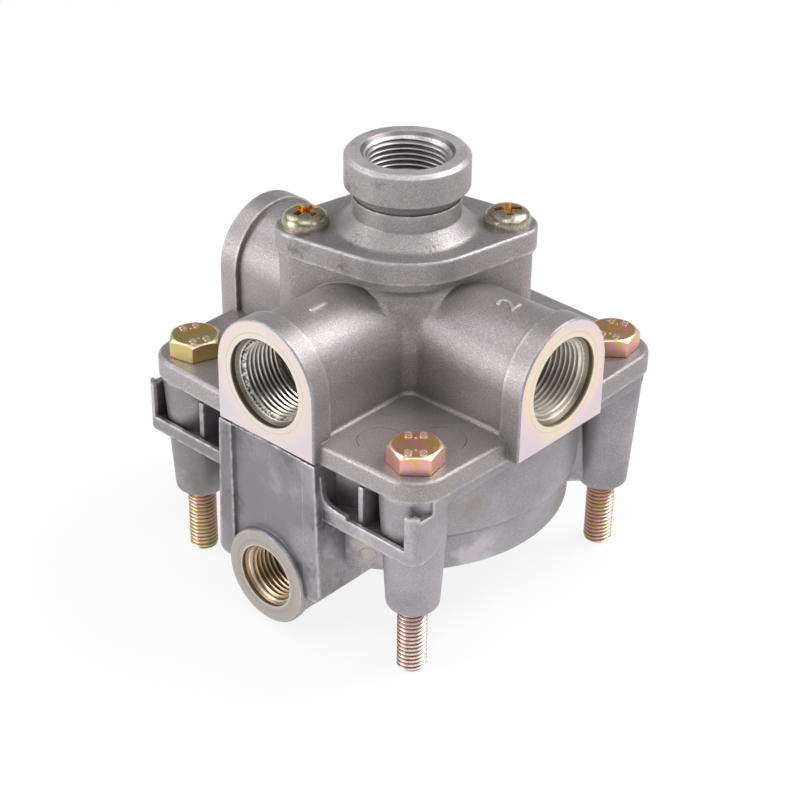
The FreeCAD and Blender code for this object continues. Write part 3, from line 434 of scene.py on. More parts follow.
def turning_group():
    """Fine rings that a lathe tool leaves around an axis."""
    inputs = {"Centre": Vector(), "Axis": UPWARD, "Spacing": 0.0002}
    outputs = ["Height", "Tint", "Radius", "Depth"]
    tree, nodes, given, result = new_tree("Turning rings", inputs, outputs)
    away = nodes.vector("SUBTRACT", nodes.place(), given["Centre"])
    along = nodes.vector("PROJECT", away, given["Axis"])
    radius = nodes.vector("LENGTH", nodes.vector("SUBTRACT", away, along), output=1)
    depth = nodes.vector("LENGTH", along, output=1)
    run = nodes.over(nodes.plus(radius, depth), given["Spacing"])
    wave = nodes.math("SINE", nodes.times(run, 2.0 * math.pi))
    inputs = {"W": nodes.times(run, 0.4), "Detail": 3.0}
    uneven = nodes.give("ShaderNodeTexNoise", inputs, noise_dimensions="1D")
    height = nodes.plus(nodes.times(wave, 0.3), uneven)
    nodes.fill(result, {"Height": height, "Tint": uneven, "Radius": radius, "Depth": depth})
    return tree


def passivation_group():
    """Thin-film colours that drift over passivated zinc or a coated machined face."""
    inputs = {
        "First": (0.62, 0.42, 0.18, 1.0),
        "Second": (0.66, 0.34, 0.28, 1.0),
        "Third": (0.40, 0.42, 0.20, 1.0),
        "Shift": 0.0,
        "Spread": 0.6,
        "Scale": 160.0,
    }
    tree, nodes, given, result = new_tree("Passivation colours", inputs, ["Colour"])
    slow = nodes.noise(nodes.place(), given["Scale"], 6.0, 0.3)
    drift = nodes.times(nodes.remap(slow, 0.3, 0.7, -0.5, 0.5), given["Spread"])
    film = nodes.math("PINGPONG", nodes.plus(drift, given["Shift"]), 1.0)
    colour = nodes.mix(nodes.remap(film, 0.0, 0.5), given["First"], given["Second"])
    nodes.join(result["Colour"], nodes.mix(nodes.remap(film, 0.5, 1.0), colour, given["Third"]))
    return tree


groups = {}


def use_group(nodes, build, inputs):
    """Place a shared shader group, built once, in a material and give its outputs."""
    if build not in groups:
        groups[build] = build()
    return nodes.add("ShaderNodeGroup", inputs, node_tree=groups[build]).outputs


# Finishes


def new_material(name):
    material = bpy.data.materials.new(name)
    material.use_nodes = True
    return material, Nodes(material.node_tree)


def complete(material, nodes, colour, roughness, metallic, normal):
    """Put the parts of a finish on its shader."""
    shader = material.node_tree.nodes["Principled BSDF"].inputs
    nodes.fill(shader, {"Base Color": colour, "Roughness": roughness, "Metallic": metallic, "Normal": normal})
    return material


def cast_finish(
    name, colour, looks, roughness, worn_and_highlight_colour, stains_and_shade=(), scratches=0.0, blotches=0.22, reach=6.0, grainy=1.0
):
    """Blasted casting with bright edges from rubbing and painted highlight, duller corners darkened with dust
    and painted shade, its own stained patches, some of them painted shade, and scratches.
    """
    material, nodes = new_material(name)
    inputs = {"Colour": colour, "Grain": looks.grain, "Blotches": blotches, "Roughness": roughness}
    grain = use_group(nodes, blasted_grain_group, {**inputs, "Contrast": 1.1 * grainy})
    dust_and_shade = use_group(nodes, crevice_shade_group, {"Reach": reach * MM, "Strength": 0.8})["Mask"]
    wear_and_highlight = use_group(nodes, edge_wear_and_highlight_group, {"Width": 0.0012, "Breakup": 0.8})["Mask"]
    dusty = [part * share for part, share in zip(colour, (0.42, 0.44, 0.38))]
    # Corners and pockets take a darker, greener colour: painted shade, with some dust.
    surface = nodes.mix(dust_and_shade, grain["Colour"], dusty)
    # Each patch darkens or lightens the colour; some are stained patches, some are painted shade.
    for centre, radius, grit, cover, strength, patch_colour in stains_and_shade:
        inputs = {"Centre": Vector(centre) * MM, "Radius": radius * MM, "Grit": grit, "Cover": cover}
        mask = nodes.times(use_group(nodes, ragged_patch_group, inputs)["Mask"], strength)
        surface = nodes.mix(mask, surface, patch_colour)
    if scratches:
        lines = use_group(nodes, scratch_group, {"Amount": scratches})["Mask"]
        surface = nodes.mix(lines, surface, worn_and_highlight_colour)
    rubbed = nodes.minus(grain["Roughness"], nodes.times(wear_and_highlight, 0.14))
    roughness = nodes.plus(rubbed, nodes.times(dust_and_shade, 0.1))
    rounding = nodes.give("ShaderNodeBevel", {"Radius": looks.edge_width}, samples=4)
    normal = nodes.bump(grain["Height"], 0.00007, 0.75 * grainy, Normal=rounding)
    # The bright edge colour is partly rubbed metal and partly a painted highlight.
    return complete(material, nodes, nodes.mix(wear_and_highlight, surface, worn_and_highlight_colour), roughness, 0.75, normal)


def machined_finish(name, hole, middle, rim, bore, worn_and_highlight_colour=(0.82, 0.79, 0.76)):
    """Faced or bored metal under a pale iridescent film, with its own tone and painted shade down the bore.
    """
    material, nodes = new_material(name)
    inputs = {"Centre": hole["centre"], "Axis": hole["axis"], "Spacing": 0.00022}
    rings = use_group(nodes, turning_group, inputs)
    radius, tint = rings["Radius"], rings["Tint"]
    drift = nodes.remap(radius, hole["mouth"] + 1.0 * MM, hole["mouth"] + 6.0 * MM, 0.0, 0.7)
    inputs = {"First": middle, "Second": rim, "Third": (0.66, 0.63, 0.70), "Shift": drift, "Scale": 75.0}
    film = use_group(nodes, passivation_group, inputs)["Colour"]
    wear_and_highlight = use_group(nodes, edge_wear_and_highlight_group, {"Width": 0.0007, "Breakup": 0.3})["Mask"]
    scuff = nodes.math("ABSOLUTE", nodes.minus(radius, hole["mouth"] + 1.5 * MM))
    scuff = nodes.remap(scuff, 0.00006, 0.00022, 0.16, 0.0)
    faced = nodes.tinted(film, nodes.minus(nodes.remap(tint, 0.3, 0.7, 0.93, 1.05), scuff))
    # Down the bore the colour turns to the darker bore colour: its own tone with painted shade.
    bored = nodes.tinted(bore, nodes.remap(tint, 0.3, 0.7, 0.6, 1.3))
    colour = nodes.mix(nodes.remap(rings["Depth"], 0.0001, 0.0007), faced, bored)
    roughness = nodes.remap(tint, 0.3, 0.7, 0.3, 0.42)
    normal = nodes.bump(rings["Height"], 0.00001, 0.5)
    # Bright edges: partly rubbed metal, partly a painted highlight.
    return complete(material, nodes, nodes.mix(wear_and_highlight, colour, worn_and_highlight_colour), roughness, 0.85, normal)


def thread_finish(name, hole, bright, dark, roughness, chattered=0.0):
    """Cut thread: bright crests, duller roots darkened as painted shade, and a chattered first turn."""
    material, nodes = new_material(name)
    inputs = {"Centre": hole["centre"], "Axis": hole["axis"], "Spacing": 0.0004}
    depth = use_group(nodes, turning_group, inputs)["Depth"]
    place = nodes.place()
    smear = nodes.noise(place, 260.0, 5.0)
    chips = nodes.noise(place, 1300.0, 3.0)
    crest = nodes.mix(nodes.remap(smear, 0.35, 0.65), bright, [part * 0.82 for part in bright])
    # Thread roots take the dark colour: painted shade.
    root = nodes.times(nodes.remap(nodes.attribute("groove"), 0.15, 0.75), 0.92)
    colour = nodes.mix(root, crest, dark)
    start = hole["relief"] + hole["mouth"] - hole["wall"]
    first_turn = nodes.remap(depth, start + 0.9 * MM, start + 1.8 * MM, chattered, 0.0)
    for low, high, chip in ((0.5, 0.57, (0.95, 0.93, 0.89)), (0.46, 0.40, dark)):
        colour = nodes.mix(nodes.times(first_turn, nodes.remap(chips, low, high)), colour, chip)
    roughness = nodes.remap(smear, 0.3, 0.7, roughness - 0.05, roughness + 0.1)
    return complete(material, nodes, colour, roughness, 1.0, nodes.bump(smear, 0.00003, 0.3))


def zinc_finish(name, colours, shift, spread, scale, roughness, silver=0.0, crown=0.0, pitted=0.0):
    """Passivated zinc that differs from bolt to bolt, with pale studs and chamfers and browner tops."""
    material, nodes = new_material(name)
    tone = nodes.attribute("tone")
    surface = nodes.add("ShaderNodeTexCoord").outputs
    place = surface["Object"]
    height = nodes.split(place)[2]
    upward = nodes.split(surface["Normal"])[2]
    grit = nodes.noise(place, 1500.0, 3.0)
    stud = nodes.remap(height, 0.0, -0.001)
    head = nodes.remap(height, 0.04, 0.041)
    reddened = nodes.times(stud, nodes.remap(height, -0.004, -0.017, 0.42, 0.0))
    side = nodes.times(head, nodes.remap(upward, 0.1, 0.3, 1.0, 0.0))
    rosy = nodes.times(nodes.times(side, crown), nodes.remap(tone, 0.5, 0.58, 0.0, 0.3))
    inputs = dict(zip(("First", "Second", "Third"), colours))
    inputs["Shift"] = nodes.plus(nodes.plus(tone, shift), nodes.plus(reddened, rosy))
    film = use_group(nodes, passivation_group, {**inputs, "Spread": spread, "Scale": scale})["Colour"]
    top = nodes.times(nodes.remap(upward, 0.96, 0.99), head)
    chamfer = nodes.minus(nodes.times(nodes.remap(upward, 0.3, 0.7), head), top)
    chamfer = nodes.times(chamfer, nodes.remap(grit, 0.35, 0.6, crown, crown * 0.4))
    colour = nodes.mix(nodes.times(top, crown), film, (0.95, 0.84, 0.70), "MULTIPLY")
    colour = nodes.mix(chamfer, colour, (0.92, 0.83, 0.74))
    pale = nodes.times(nodes.times(stud, silver), nodes.remap(grit, 0.35, 0.6, 0.5, 1.0))
    colour = nodes.mix(nodes.times(pale, nodes.remap(tone, 0.6, 0.72, 0.15, 1.0)), colour, (0.86, 0.77, 0.76))
    root = nodes.mix(nodes.remap(grit, 0.52, 0.6), (0.34, 0.04, 0.085), (0.10, 0.15, 0.06))
    sunk = nodes.remap(nodes.attribute("groove"), 0.3, 0.9, 0.0, 0.88)
    colour = nodes.mix(nodes.times(sunk, nodes.remap(tone, 0.6, 0.72, 0.4, 1.0)), colour, root)
    if pitted:
        pits = nodes.remap(nodes.noise(place, 3200.0, 3.0), 0.56, 0.40)
        colour = nodes.mix(nodes.times(pits, pitted), colour, (0.13, 0.115, 0.085))
    dust_and_shade = use_group(nodes, crevice_shade_group, {"Reach": 0.0015, "Strength": 0.6})["Mask"]
    # Crevices turn brown-black: painted shade, with some dust.
    colour = nodes.mix(dust_and_shade, colour, (0.12, 0.08, 0.05))
    wear_and_highlight = use_group(nodes, edge_wear_and_highlight_group, {"Width": 0.0006, "Breakup": 0.5})["Mask"]
    # Bright edges: partly rubbed zinc, partly a painted highlight.
    colour = nodes.mix(nodes.times(wear_and_highlight, 0.7), colour, (0.86, 0.80, 0.70))
    roughness = nodes.remap(grit, 0.3, 0.7, roughness - 0.05, roughness + 0.08)
    normal = nodes.bump(grit, 0.00001 + 0.00006 * pitted, 0.4)
    return complete(material, nodes, colour, roughness, 1.0, normal)


def inner_metal(name, colour, roughness):
    """Turned inner metal piece with fine rings about the valve's axis."""
    material, nodes = new_material(name)
    rings = use_group(nodes, turning_group, {"Spacing": 0.0003})
    tint = rings["Tint"]
    colour = nodes.tinted(colour, nodes.remap(tint, 0.3, 0.7, 0.85, 1.1))
    roughness = nodes.remap(tint, 0.3, 0.7, roughness - 0.06, roughness + 0.08)
    return complete(material, nodes, colour, roughness, 1.0, nodes.bump(rings["Height"], 0.00001, 0.4))


def soft_finish(name, colour, roughness, scale):
    """Rubber or plastic with a faint moulded mottle."""
    material, nodes = new_material(name)
    mottle = nodes.noise(nodes.place(), scale, 6.0)
    dusty = [min(1.0, part * 1.5 + 0.01) for part in colour]
    colour = nodes.mix(nodes.remap(mottle, 0.35, 0.75), colour, dusty)
    roughness = nodes.remap(mottle, 0.3, 0.7, roughness - 0.08, roughness + 0.08)
    return complete(material, nodes, colour, roughness, 0.0, nodes.bump(mottle, 0.00004, 0.4))


# Geometry trees


def polar_grid(nodes, columns, rows):
    """Give a flat grid with its turn from 0 to 1 and its row number as fields."""
    inputs = {"Size X": 1.0, "Size Y": 1.0, "Vertices X": nodes.plus(columns, 1.0), "Vertices Y": rows}
    grid = nodes.give("GeometryNodeMeshGrid", inputs)
    spot = nodes.split(nodes.give("GeometryNodeInputPosition"))
    turn = nodes.plus(spot[0], 0.5)
    row = nodes.math("ROUND", nodes.times(nodes.plus(spot[1], 0.5), nodes.minus(rows, 1.0)))
    return grid, turn, row


def wrap_grid(nodes, grid, turn, radius, height):
    """Bend a polar grid round the upright axis and close its seam and poles."""
    angle = nodes.times(turn, 2.0 * math.pi)
    across = nodes.times(radius, nodes.math("COSINE", angle))
    along = nodes.times(radius, nodes.math("SINE", angle))
    inputs = {"Geometry": grid, "Position": nodes.xyz(across, along, height)}
    skin = nodes.give("GeometryNodeSetPosition", inputs)
    return nodes.give("GeometryNodeMergeByDistance", {"Geometry": skin, "Distance": NEAR_CORNERS})


def cylinder(nodes, sides, radius, depth, middle):
    """Give an upright cylinder with its middle at a height."""
    inputs = {"Vertices": sides, "Radius": radius, "Depth": depth}
    return nodes.moved(nodes.give("GeometryNodeMeshCylinder", inputs), Translation=nodes.xyz(z=middle))


def thread_tree():
    """Closed wall with a helical thread on one side, cut down by a cone at its mouth."""
    inputs = {
        "Segments": 96,
        "Rows": 100,
        "Rows per Pitch": 10,
        "Pitch": 0.0015,
        "Start": 0.0,
        "End": 0.015,
        "Crest Radius": 0.0102,
        "Root Radius": 0.011,
        "Cone Radius": 0.012,
        "Back Radius": 0.0115,
        "Side": 1.0,
        "Material": None,
    }
    tree, nodes, given, result = new_geometry_tree("Helical thread", inputs)
    start, end, pitch, side = given["Start"], given["End"], given["Pitch"], given["Side"]
    crest, back = given["Crest Radius"], given["Back Radius"]
    grid, turn, row = polar_grid(nodes, given["Segments"], nodes.plus(given["Rows"], 4.0))
    front, last, rear = (nodes.above(row, nodes.plus(given["Rows"], extra)) for extra in (0.5, 1.5, 2.5))
    lift = nodes.times(turn, pitch)
    step = nodes.minus(nodes.over(row, given["Rows per Pitch"]), 1.0)
    along = nodes.plus(nodes.math("MULTIPLY_ADD", step, pitch, start), lift)
    along = nodes.math("MINIMUM", nodes.math("MAXIMUM", along, start), end)
    along = nodes.choose(last, nodes.choose(front, along, end), start)
    phase = nodes.over(nodes.minus(along, lift), pitch)
    wave = nodes.math("ABSOLUTE", nodes.minus(nodes.math("FRACT", phase), 0.5))
    groove = nodes.over(nodes.minus(0.43, wave), 0.36, clamp=True)
    fade = nodes.over(nodes.minus(end, along), pitch, clamp=True)
    groove = nodes.times(groove, fade)
    depth = nodes.minus(given["Root Radius"], crest)
    radius = nodes.times(nodes.math("MULTIPLY_ADD", groove, depth, crest), side)
    cone = nodes.minus(nodes.times(given["Cone Radius"], side), along)
    radius = nodes.times(nodes.math("MAXIMUM", radius, cone), side)
    radius = nodes.choose(front, radius, nodes.choose(rear, back, radius))
    marked = nodes.mark(grid, "groove", groove, "POINT")
    nodes.finish(result, wrap_grid(nodes, marked, turn, radius, along), given["Material"])
    return tree


def hexagon_head(nodes, given):
    """Give a crowned hexagon head that stands on the origin."""
    grid, turn, row = polar_grid(nodes, 144, 8)
    corner_share, crown_share, chamfer = 1.143, 0.95, math.radians(30.0)
    flat = nodes.times(given["Across Flats"], 0.5)
    side = nodes.math("FRACT", nodes.times(turn, 6.0))
    lean = nodes.times(nodes.minus(side, 0.5), math.pi / 3.0)
    reach = nodes.over(flat, nodes.math("COSINE", lean))
    reach = nodes.math("MINIMUM", reach, nodes.times(flat, corner_share))
    crown = nodes.times(flat, crown_share)
    fall = nodes.times(nodes.minus(reach, crown), math.tan(chamfer))
    soft, top = 0.00015, given["Head Height"]
    shoulder = nodes.minus(top, fall)
    rings = (
        (nodes.minus(reach, soft * 2), 0.0),
        (reach, soft * 2),
        (reach, nodes.minus(shoulder, soft)),
        (nodes.minus(reach, soft * 0.8), shoulder),
        (crown, nodes.minus(top, soft * 0.4)),
        (nodes.minus(crown, soft * 3), top),
        (0.0, top),
    )
    radius, height = 0.0, 0.0
    for number, (next_radius, next_height) in enumerate(rings):
        later = nodes.above(row, number + 0.5)
        radius = nodes.choose(later, radius, next_radius)
        height = nodes.choose(later, height, next_height)
    return wrap_grid(nodes, grid, turn, radius, height)


def hex_bolt_tree(thread):
    """Four long hexagon bolts around the valve's axis, each with a crowned head and a threaded end."""
    inputs = {
        "Across Flats": 0.013,
        "Head Height": 0.0053,
        "Head Turn": 0.0,
        "Head Base": 0.0434,
        "Shank Radius": 0.0036,
        "Stud Radius": 0.004,
        "Stud Reach": 0.0202,
        "Tip Radius": 0.0031,
        "Thread Pitch": 0.00125,
        "Thread Depth": 0.00068,
        "Rows per Pitch": 10,
        "Pattern Radius": 0.0566,
        "Material": None,
    }
    tree, nodes, given, result = new_geometry_tree("Hexagon bolts", inputs)
    base, reach, radius = given["Head Base"], given["Stud Reach"], given["Stud Radius"]
    head = hexagon_head(nodes, given)
    head = nodes.moved(head, Translation=nodes.xyz(z=base), Rotation=nodes.xyz(z=given["Head Turn"]))
    shank = cylinder(nodes, 48, given["Shank Radius"], base, nodes.times(base, 0.5))
    turns = nodes.plus(nodes.over(reach, given["Thread Pitch"]), 1.0)
    inputs = {
        "Segments": 64,
        "Rows": nodes.math("CEIL", nodes.times(turns, given["Rows per Pitch"])),
        "Rows per Pitch": given["Rows per Pitch"],
        "Pitch": given["Thread Pitch"],
        "Start": 0.0,
        "End": reach,
        "Crest Radius": radius,
        "Root Radius": nodes.minus(radius, given["Thread Depth"]),
        "Cone Radius": given["Tip Radius"],
        "Back Radius": 0.0,
        "Side": -1.0,
    }
    stud = nodes.give("GeometryNodeGroup", inputs, node_tree=thread)
    stud = nodes.moved(stud, Translation=nodes.xyz(z=nodes.times(reach, -1.0)))
    bolt = nodes.add("GeometryNodeJoinGeometry")
    nodes.gather(bolt.inputs[0], (head, shank, stud))
    ring = nodes.give("GeometryNodeMeshCircle", {"Vertices": 4, "Radius": given["Pattern Radius"]})
    ring = nodes.moved(ring, Rotation=nodes.xyz(z=-math.pi / 4.0))
    second_bolt_turn, first_tone, tone_step = 0.49, 0.74, -0.145
    order = nodes.give("GeometryNodeInputIndex")
    further = nodes.times(nodes.math("COMPARE", order, 1.0, 0.5), second_bolt_turn)
    facing = nodes.xyz(z=nodes.plus(nodes.times(order, math.pi / 2.0), further))
    inputs = {"Points": ring, "Instance": bolt.outputs[0], "Rotation": facing}
    bolts = nodes.give("GeometryNodeInstanceOnPoints", inputs)
    tone = nodes.math("MULTIPLY_ADD", order, tone_step, first_tone)
    bolts = nodes.mark(bolts, "tone", tone, "INSTANCE")
    nodes.finish(result, bolts, given["Material"])
    return tree


def pan_screw_tree():
    """Two pan-head screws with a tapered cross recess, one on each ear of the cover."""
    inputs = {
        "Head Diameter": 0.012,
        "Head Height": 0.0039,
        "Head Base": 0.081,
        "Shank Radius": 0.00295,
        "Shank Length": 0.016,
        "Cross Length": 0.0072,
        "Cross Width": 0.0019,
        "Cross Depth": 0.0025,
        "Spread": 0.0265,
        "Cross Turn": 0.0,
        "Material": None,
    }
    tree, nodes, given, result = new_geometry_tree("Pan-head screws", inputs)
    rows, roundness = 26, 0.62
    grid, turn, row = polar_grid(nodes, 96, rows)
    share = nodes.over(nodes.minus(row, 1.0), rows - 2.0, clamp=True)
    angle = nodes.times(nodes.minus(1.0, share), math.pi / 2.0)
    rim = nodes.times(given["Head Diameter"], 0.5)
    radius = nodes.times(rim, nodes.math("POWER", nodes.math("SINE", angle), roundness))
    radius = nodes.choose(nodes.above(row, 0.5), 0.0, radius)
    rise = nodes.math("POWER", nodes.math("MAXIMUM", nodes.math("COSINE", angle), 0.0), roundness)
    head = wrap_grid(nodes, grid, turn, radius, nodes.times(given["Head Height"], rise))
    length, width, depth = given["Cross Length"], given["Cross Width"], given["Cross Depth"]
    tip_share, mouth_share = 0.42, 1.3
    cutters = []
    for across, along in ((length, width), (width, length)):
        size = nodes.xyz(across, along, nodes.times(depth, 2.0))
        box = nodes.give("GeometryNodeMeshCube", {"Size": size})
        spot = nodes.split(nodes.give("GeometryNodeInputPosition"))
        narrow = nodes.remap(nodes.over(spot[2], depth), -1.0, 1.0, tip_share, mouth_share)
        tapered = nodes.xyz(nodes.times(spot[0], narrow), nodes.times(spot[1], narrow), spot[2])
        box = nodes.give("GeometryNodeSetPosition", {"Geometry": box, "Position": tapered})
        lift, spin = nodes.xyz(z=given["Head Height"]), nodes.xyz(z=given["Cross Turn"])
        cutters.append(nodes.moved(box, Translation=lift, Rotation=spin))
    cut = nodes.add("GeometryNodeMeshBoolean", {"Mesh 1": head}, operation="DIFFERENCE", solver="EXACT")
    nodes.gather(cut.inputs["Mesh 2"], cutters)
    reach = given["Shank Length"]
    shank = cylinder(nodes, 32, given["Shank Radius"], reach, nodes.times(reach, -0.5))
    screw = nodes.add("GeometryNodeJoinGeometry")
    nodes.gather(screw.inputs[0], (cut.outputs[0], shank))
    start = nodes.xyz(nodes.times(given["Spread"], -1.0), 0.0, given["Head Base"])
    inputs = {"Count": 2, "Start Location": start, "Offset": nodes.xyz(nodes.times(given["Spread"], 2.0))}
    line = nodes.give("GeometryNodeMeshLine", inputs, mode="OFFSET")
    second_screw_turn, tone_step = 0.87, 0.25
    order = nodes.give("GeometryNodeInputIndex")
    facing = nodes.xyz(z=nodes.times(order, second_screw_turn))
    inputs = {"Points": line, "Instance": screw.outputs[0], "Rotation": facing}
    pair = nodes.give("GeometryNodeInstanceOnPoints", inputs)
    pair = nodes.moved(pair, Rotation=nodes.xyz(z=math.pi / 4.0))
    pair = nodes.mark(pair, "tone", nodes.times(order, tone_step), "INSTANCE")
    nodes.finish(result, pair, given["Material"])
    return tree


def ridge_tree():
    """Thin raised circle, such as an ejector pin leaves on a casting."""
    inputs = {"Radius": 0.006, "Width": 0.0004, "Height": 0.00012, "Material": None}
    tree, nodes, given, result = new_geometry_tree("Raised circle", inputs)
    half = nodes.times(given["Width"], 0.5)
    circle = "GeometryNodeCurvePrimitiveCircle"
    path = nodes.give(circle, {"Resolution": 96, "Radius": given["Radius"]})
    section = nodes.give(circle, {"Resolution": 10, "Radius": half})
    ring = nodes.give("GeometryNodeCurveToMesh", {"Curve": path, "Profile Curve": section})
    ring = nodes.moved(ring, Scale=nodes.xyz(1.0, 1.0, nodes.over(given["Height"], half)))
    nodes.finish(result, ring, given["Material"])
    return tree


# Meshes


def add_object(name, data):
    """Put an object in the scene."""
    piece = bpy.data.objects.new(name, data)
    bpy.context.scene.collection.objects.link(piece)
    return piece


def plain_mesh(carrier):
    """Give what an object's curve or modifiers make as a plain mesh, and remove the object."""
    graph = bpy.context.evaluated_depsgraph_get()
    made = carrier.evaluated_get(graph)
    mesh = bpy.data.meshes.new_from_object(made, preserve_all_data_layers=True, depsgraph=graph)
    carrier.modifiers.clear()
    bpy.data.objects.remove(carrier)
    return mesh


def grow(tree, settings):
    """Run a geometry tree with its settings and give the result as a plain mesh."""
    carrier = add_object(tree.name, bpy.data.meshes.new(tree.name))
    modifier = carrier.modifiers.new("Grow", "NODES")
    modifier.node_group = tree
    for item in tree.interface.items_tree:
        if item.in_out == "INPUT" and item.name in settings:
            modifier[item.identifier] = settings[item.name]
    return plain_mesh(carrier)


def thinned(mesh, share):
    """Give a copy of a mesh that keeps only a share of its faces."""
    carrier = add_object(mesh.name, mesh)
    modifier = carrier.modifiers.new("Fewer faces", "DECIMATE")
    modifier.ratio = share
    return plain_mesh(carrier)


def digit_mesh(words, size, depth, round_over, spacing=1.0):
    """Give raised digits lying flat with their middle at the origin."""
    curve = bpy.data.curves.new("digits", "FONT")
    curve.body = words
    curve.space_character = spacing
    curve.size = size
    curve.align_x = "CENTER"
    curve.align_y = "CENTER"
    curve.extrude = depth
    curve.bevel_depth = round_over
    curve.bevel_resolution = 1
    curve.resolution_u = 6
    return plain_mesh(add_object("digits", curve))


def set_materials(mesh, materials):
    """Give a mesh its materials, before its faces are numbered, as clearing the old ones resets those."""
    mesh.materials.clear()
    for material in materials:
        mesh.materials.append(material)


def joined_mesh(name, parts, materials):
    """Join meshes, each with its place, into one closed mesh whose faces point outwards."""
    work = bmesh.new()
    for number, (mesh, place) in enumerate(parts):
        moved = mesh.copy()
        moved.transform(place)
        before = len(work.faces)
        work.from_mesh(moved)
        work.faces.ensure_lookup_table()
        for face in work.faces[before:]:
            face.material_index = min(number, len(materials) - 1)
        bpy.data.meshes.remove(moved)
    bmesh.ops.remove_doubles(work, verts=work.verts, dist=SAME_CORNER)
    bmesh.ops.recalc_face_normals(work, faces=work.faces)
    mesh = bpy.data.meshes.new(name)
    set_materials(mesh, materials)
    work.to_mesh(mesh)
    work.free()
    return mesh


def show(name, mesh, sharp, body=HOUSING, stands_for=()):
    """Shade a mesh, sharp past an angle, and put it in the scene on its body."""
    mesh.shade_smooth()
    mesh.set_sharp_from_angle(angle=math.radians(sharp))
    piece = add_object(name, mesh)
    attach(piece, body)
    if stands_for:
        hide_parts(*stands_for)
    return piece


def show_joined(name, parts, materials, sharp):
    show(name, joined_mesh(name, parts, materials), sharp)


def turn_to(direction):
    """Give the turn that carries +Z to a direction."""
    return UPWARD.rotation_difference(direction).to_matrix().to_4x4()


# Ports


def port(centre, axis, **sizes):
    """Describe a port by the middle of its face, the way it faces, and its radii and depths."""
    lengths = {name: size * MM for name, size in sizes.items()}
    return {"centre": Vector(centre) * MM, "axis": Vector(axis), **lengths}


LARGE = {"crest": 10.2, "wall": 11.4, "mouth": 12.25, "relief": 1.6, "thread": 15.0}
SUPPLY = port((0.0, -52.84, PORT_HEIGHT), (0, -1, 0), **LARGE)
RIGHT = port((54.23, 0.0, PORT_HEIGHT), (1, 0, 0), **LARGE)
LEFT = port((-54.23, 0.0, PORT_HEIGHT), (-1, 0, 0), **LARGE)
EXHAUST = port((0.0, 0.0, 101.8), (0, 0, 1), crest=10.2, wall=11.4, mouth=12.3, relief=0.0, thread=14.0)
CONTROL = port((0.0, -54.1, -4.25), (0, -1, 0), crest=7.25, wall=8.4, mouth=9.05, relief=1.2, thread=12.0)

# How near a corner has to lie to a face or a depth of the port to count as on it
NEAR = 0.05 * MM


def axis_distance(point, hole):
    """Give how far a point lies inwards from a port's face, and how far out from its axis."""
    away = point - hole["centre"]
    inward = -away.dot(hole["axis"])
    return inward, (away + hole["axis"] * inward).length


def solid_copy(node):
    """Copy a node's mesh with its loose triangles merged and its degenerate edges dissolved."""
    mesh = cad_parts[node].data.copy()
    if "custom_normal" in mesh.attributes:
        mesh.attributes.remove(mesh.attributes["custom_normal"])
    work = bmesh.new()
    work.from_mesh(mesh)
    bmesh.ops.remove_doubles(work, verts=work.verts, dist=NEAR_CORNERS)
    bmesh.ops.dissolve_degenerate(work, edges=work.edges, dist=SAME_CORNER)
    return mesh, work


def widen_bore(work, hole):
    """Open a port's wall behind the thread, so that the threaded wall can stand in its place."""
    crest, wide = hole["crest"], hole["wall"]
    cone_end = hole["relief"] + hole["mouth"] - crest
    cone_cut = hole["relief"] + hole["mouth"] - wide
    for vertex in work.verts:
        depth, radius = axis_distance(vertex.co, hole)
        if abs(radius - crest) < 0.03 * MM and cone_end - NEAR < depth < hole["thread"] + NEAR:
            start = hole["centre"] - hole["axis"] * depth
            outward = (vertex.co - start).normalized()
            if depth < cone_end + NEAR:
                start = hole["centre"] - hole["axis"] * cone_cut
            vertex.co = start + outward * wide


def is_machined(face, hole):
    """Tell whether a face lies in a port's mouth ring or down its bore."""
    corners = [axis_distance(vertex.co, hole) for vertex in face.verts]
    if all(abs(depth) < NEAR for depth, radius in corners):
        return True
    end, mouth = hole["thread"] + 0.3 * MM, hole["mouth"] + NEAR
    return all(-NEAR < depth < end and radius < mouth for depth, radius in corners)


def machined_casting(name, node, holes, materials, reshape=None):
    """Copy a casting, open its ports, and part its faces into cast and machined ones."""
    mesh, work = solid_copy(node)
    for hole in holes:
        widen_bore(work, hole)
    if reshape:
        reshape(work)
    bmesh.ops.dissolve_limit(work, angle_limit=math.radians(0.3), verts=work.verts, edges=work.edges)
    for face in work.faces:
        face.material_index = 0
        for number, hole in enumerate(holes, start=1):
            if is_machined(face, hole):
                face.material_index = number
    mesh.name = name
    set_materials(mesh, materials)
    work.to_mesh(mesh)
    work.free()
    return mesh


# Stains and painted shade: place in mm, radius in mm, grit, cover, strength and colour
DARK_PATCH = (0.11, 0.105, 0.10)
UPPER_STAINS_AND_SHADE = (
    # The first three darken the column just under the cover's edge: painted shadow of the cover.
    ((2.5, -25.9, 76.5), 7.0, 700.0, 0.32, 0.5, DARK_PATCH),
    ((14.5, -22.0, 78.0), 6.0, 900.0, 0.30, 0.5, DARK_PATCH),
    ((-2.9, -25.8, 72.4), 5.0, 1200.0, 0.30, 0.55, DARK_PATCH),
    ((2.0, -35.4, 70.5), 5.0, 500.0, 0.30, 0.5, (0.56, 0.50, 0.50)),
    ((35.0, -6.0, 43.0), 7.0, 400.0, 0.40, 0.35, (0.50, 0.44, 0.45)),
)
COVER_STAINS = (
    ((-14.5, -24.5, 78.5), 6.0, 500.0, 0.42, 0.6, DARK_PATCH),
    ((0.0, -24.0, 77.0), 4.5, 800.0, 0.36, 0.5, DARK_PATCH),
    ((-6.5, -15.2, 93.5), 7.5, 600.0, 0.40, 0.5, DARK_PATCH),
    ((4.5, -16.0, 99.0), 3.5, 900.0, 0.30, 0.4, DARK_PATCH),
    ((-1.9, -18.4, 83.3), 4.5, 1500.0, 0.34, 0.65, DARK_PATCH),
    ((16.8, -7.8, 82.8), 4.0, 1600.0, 0.32, 0.65, DARK_PATCH),
)
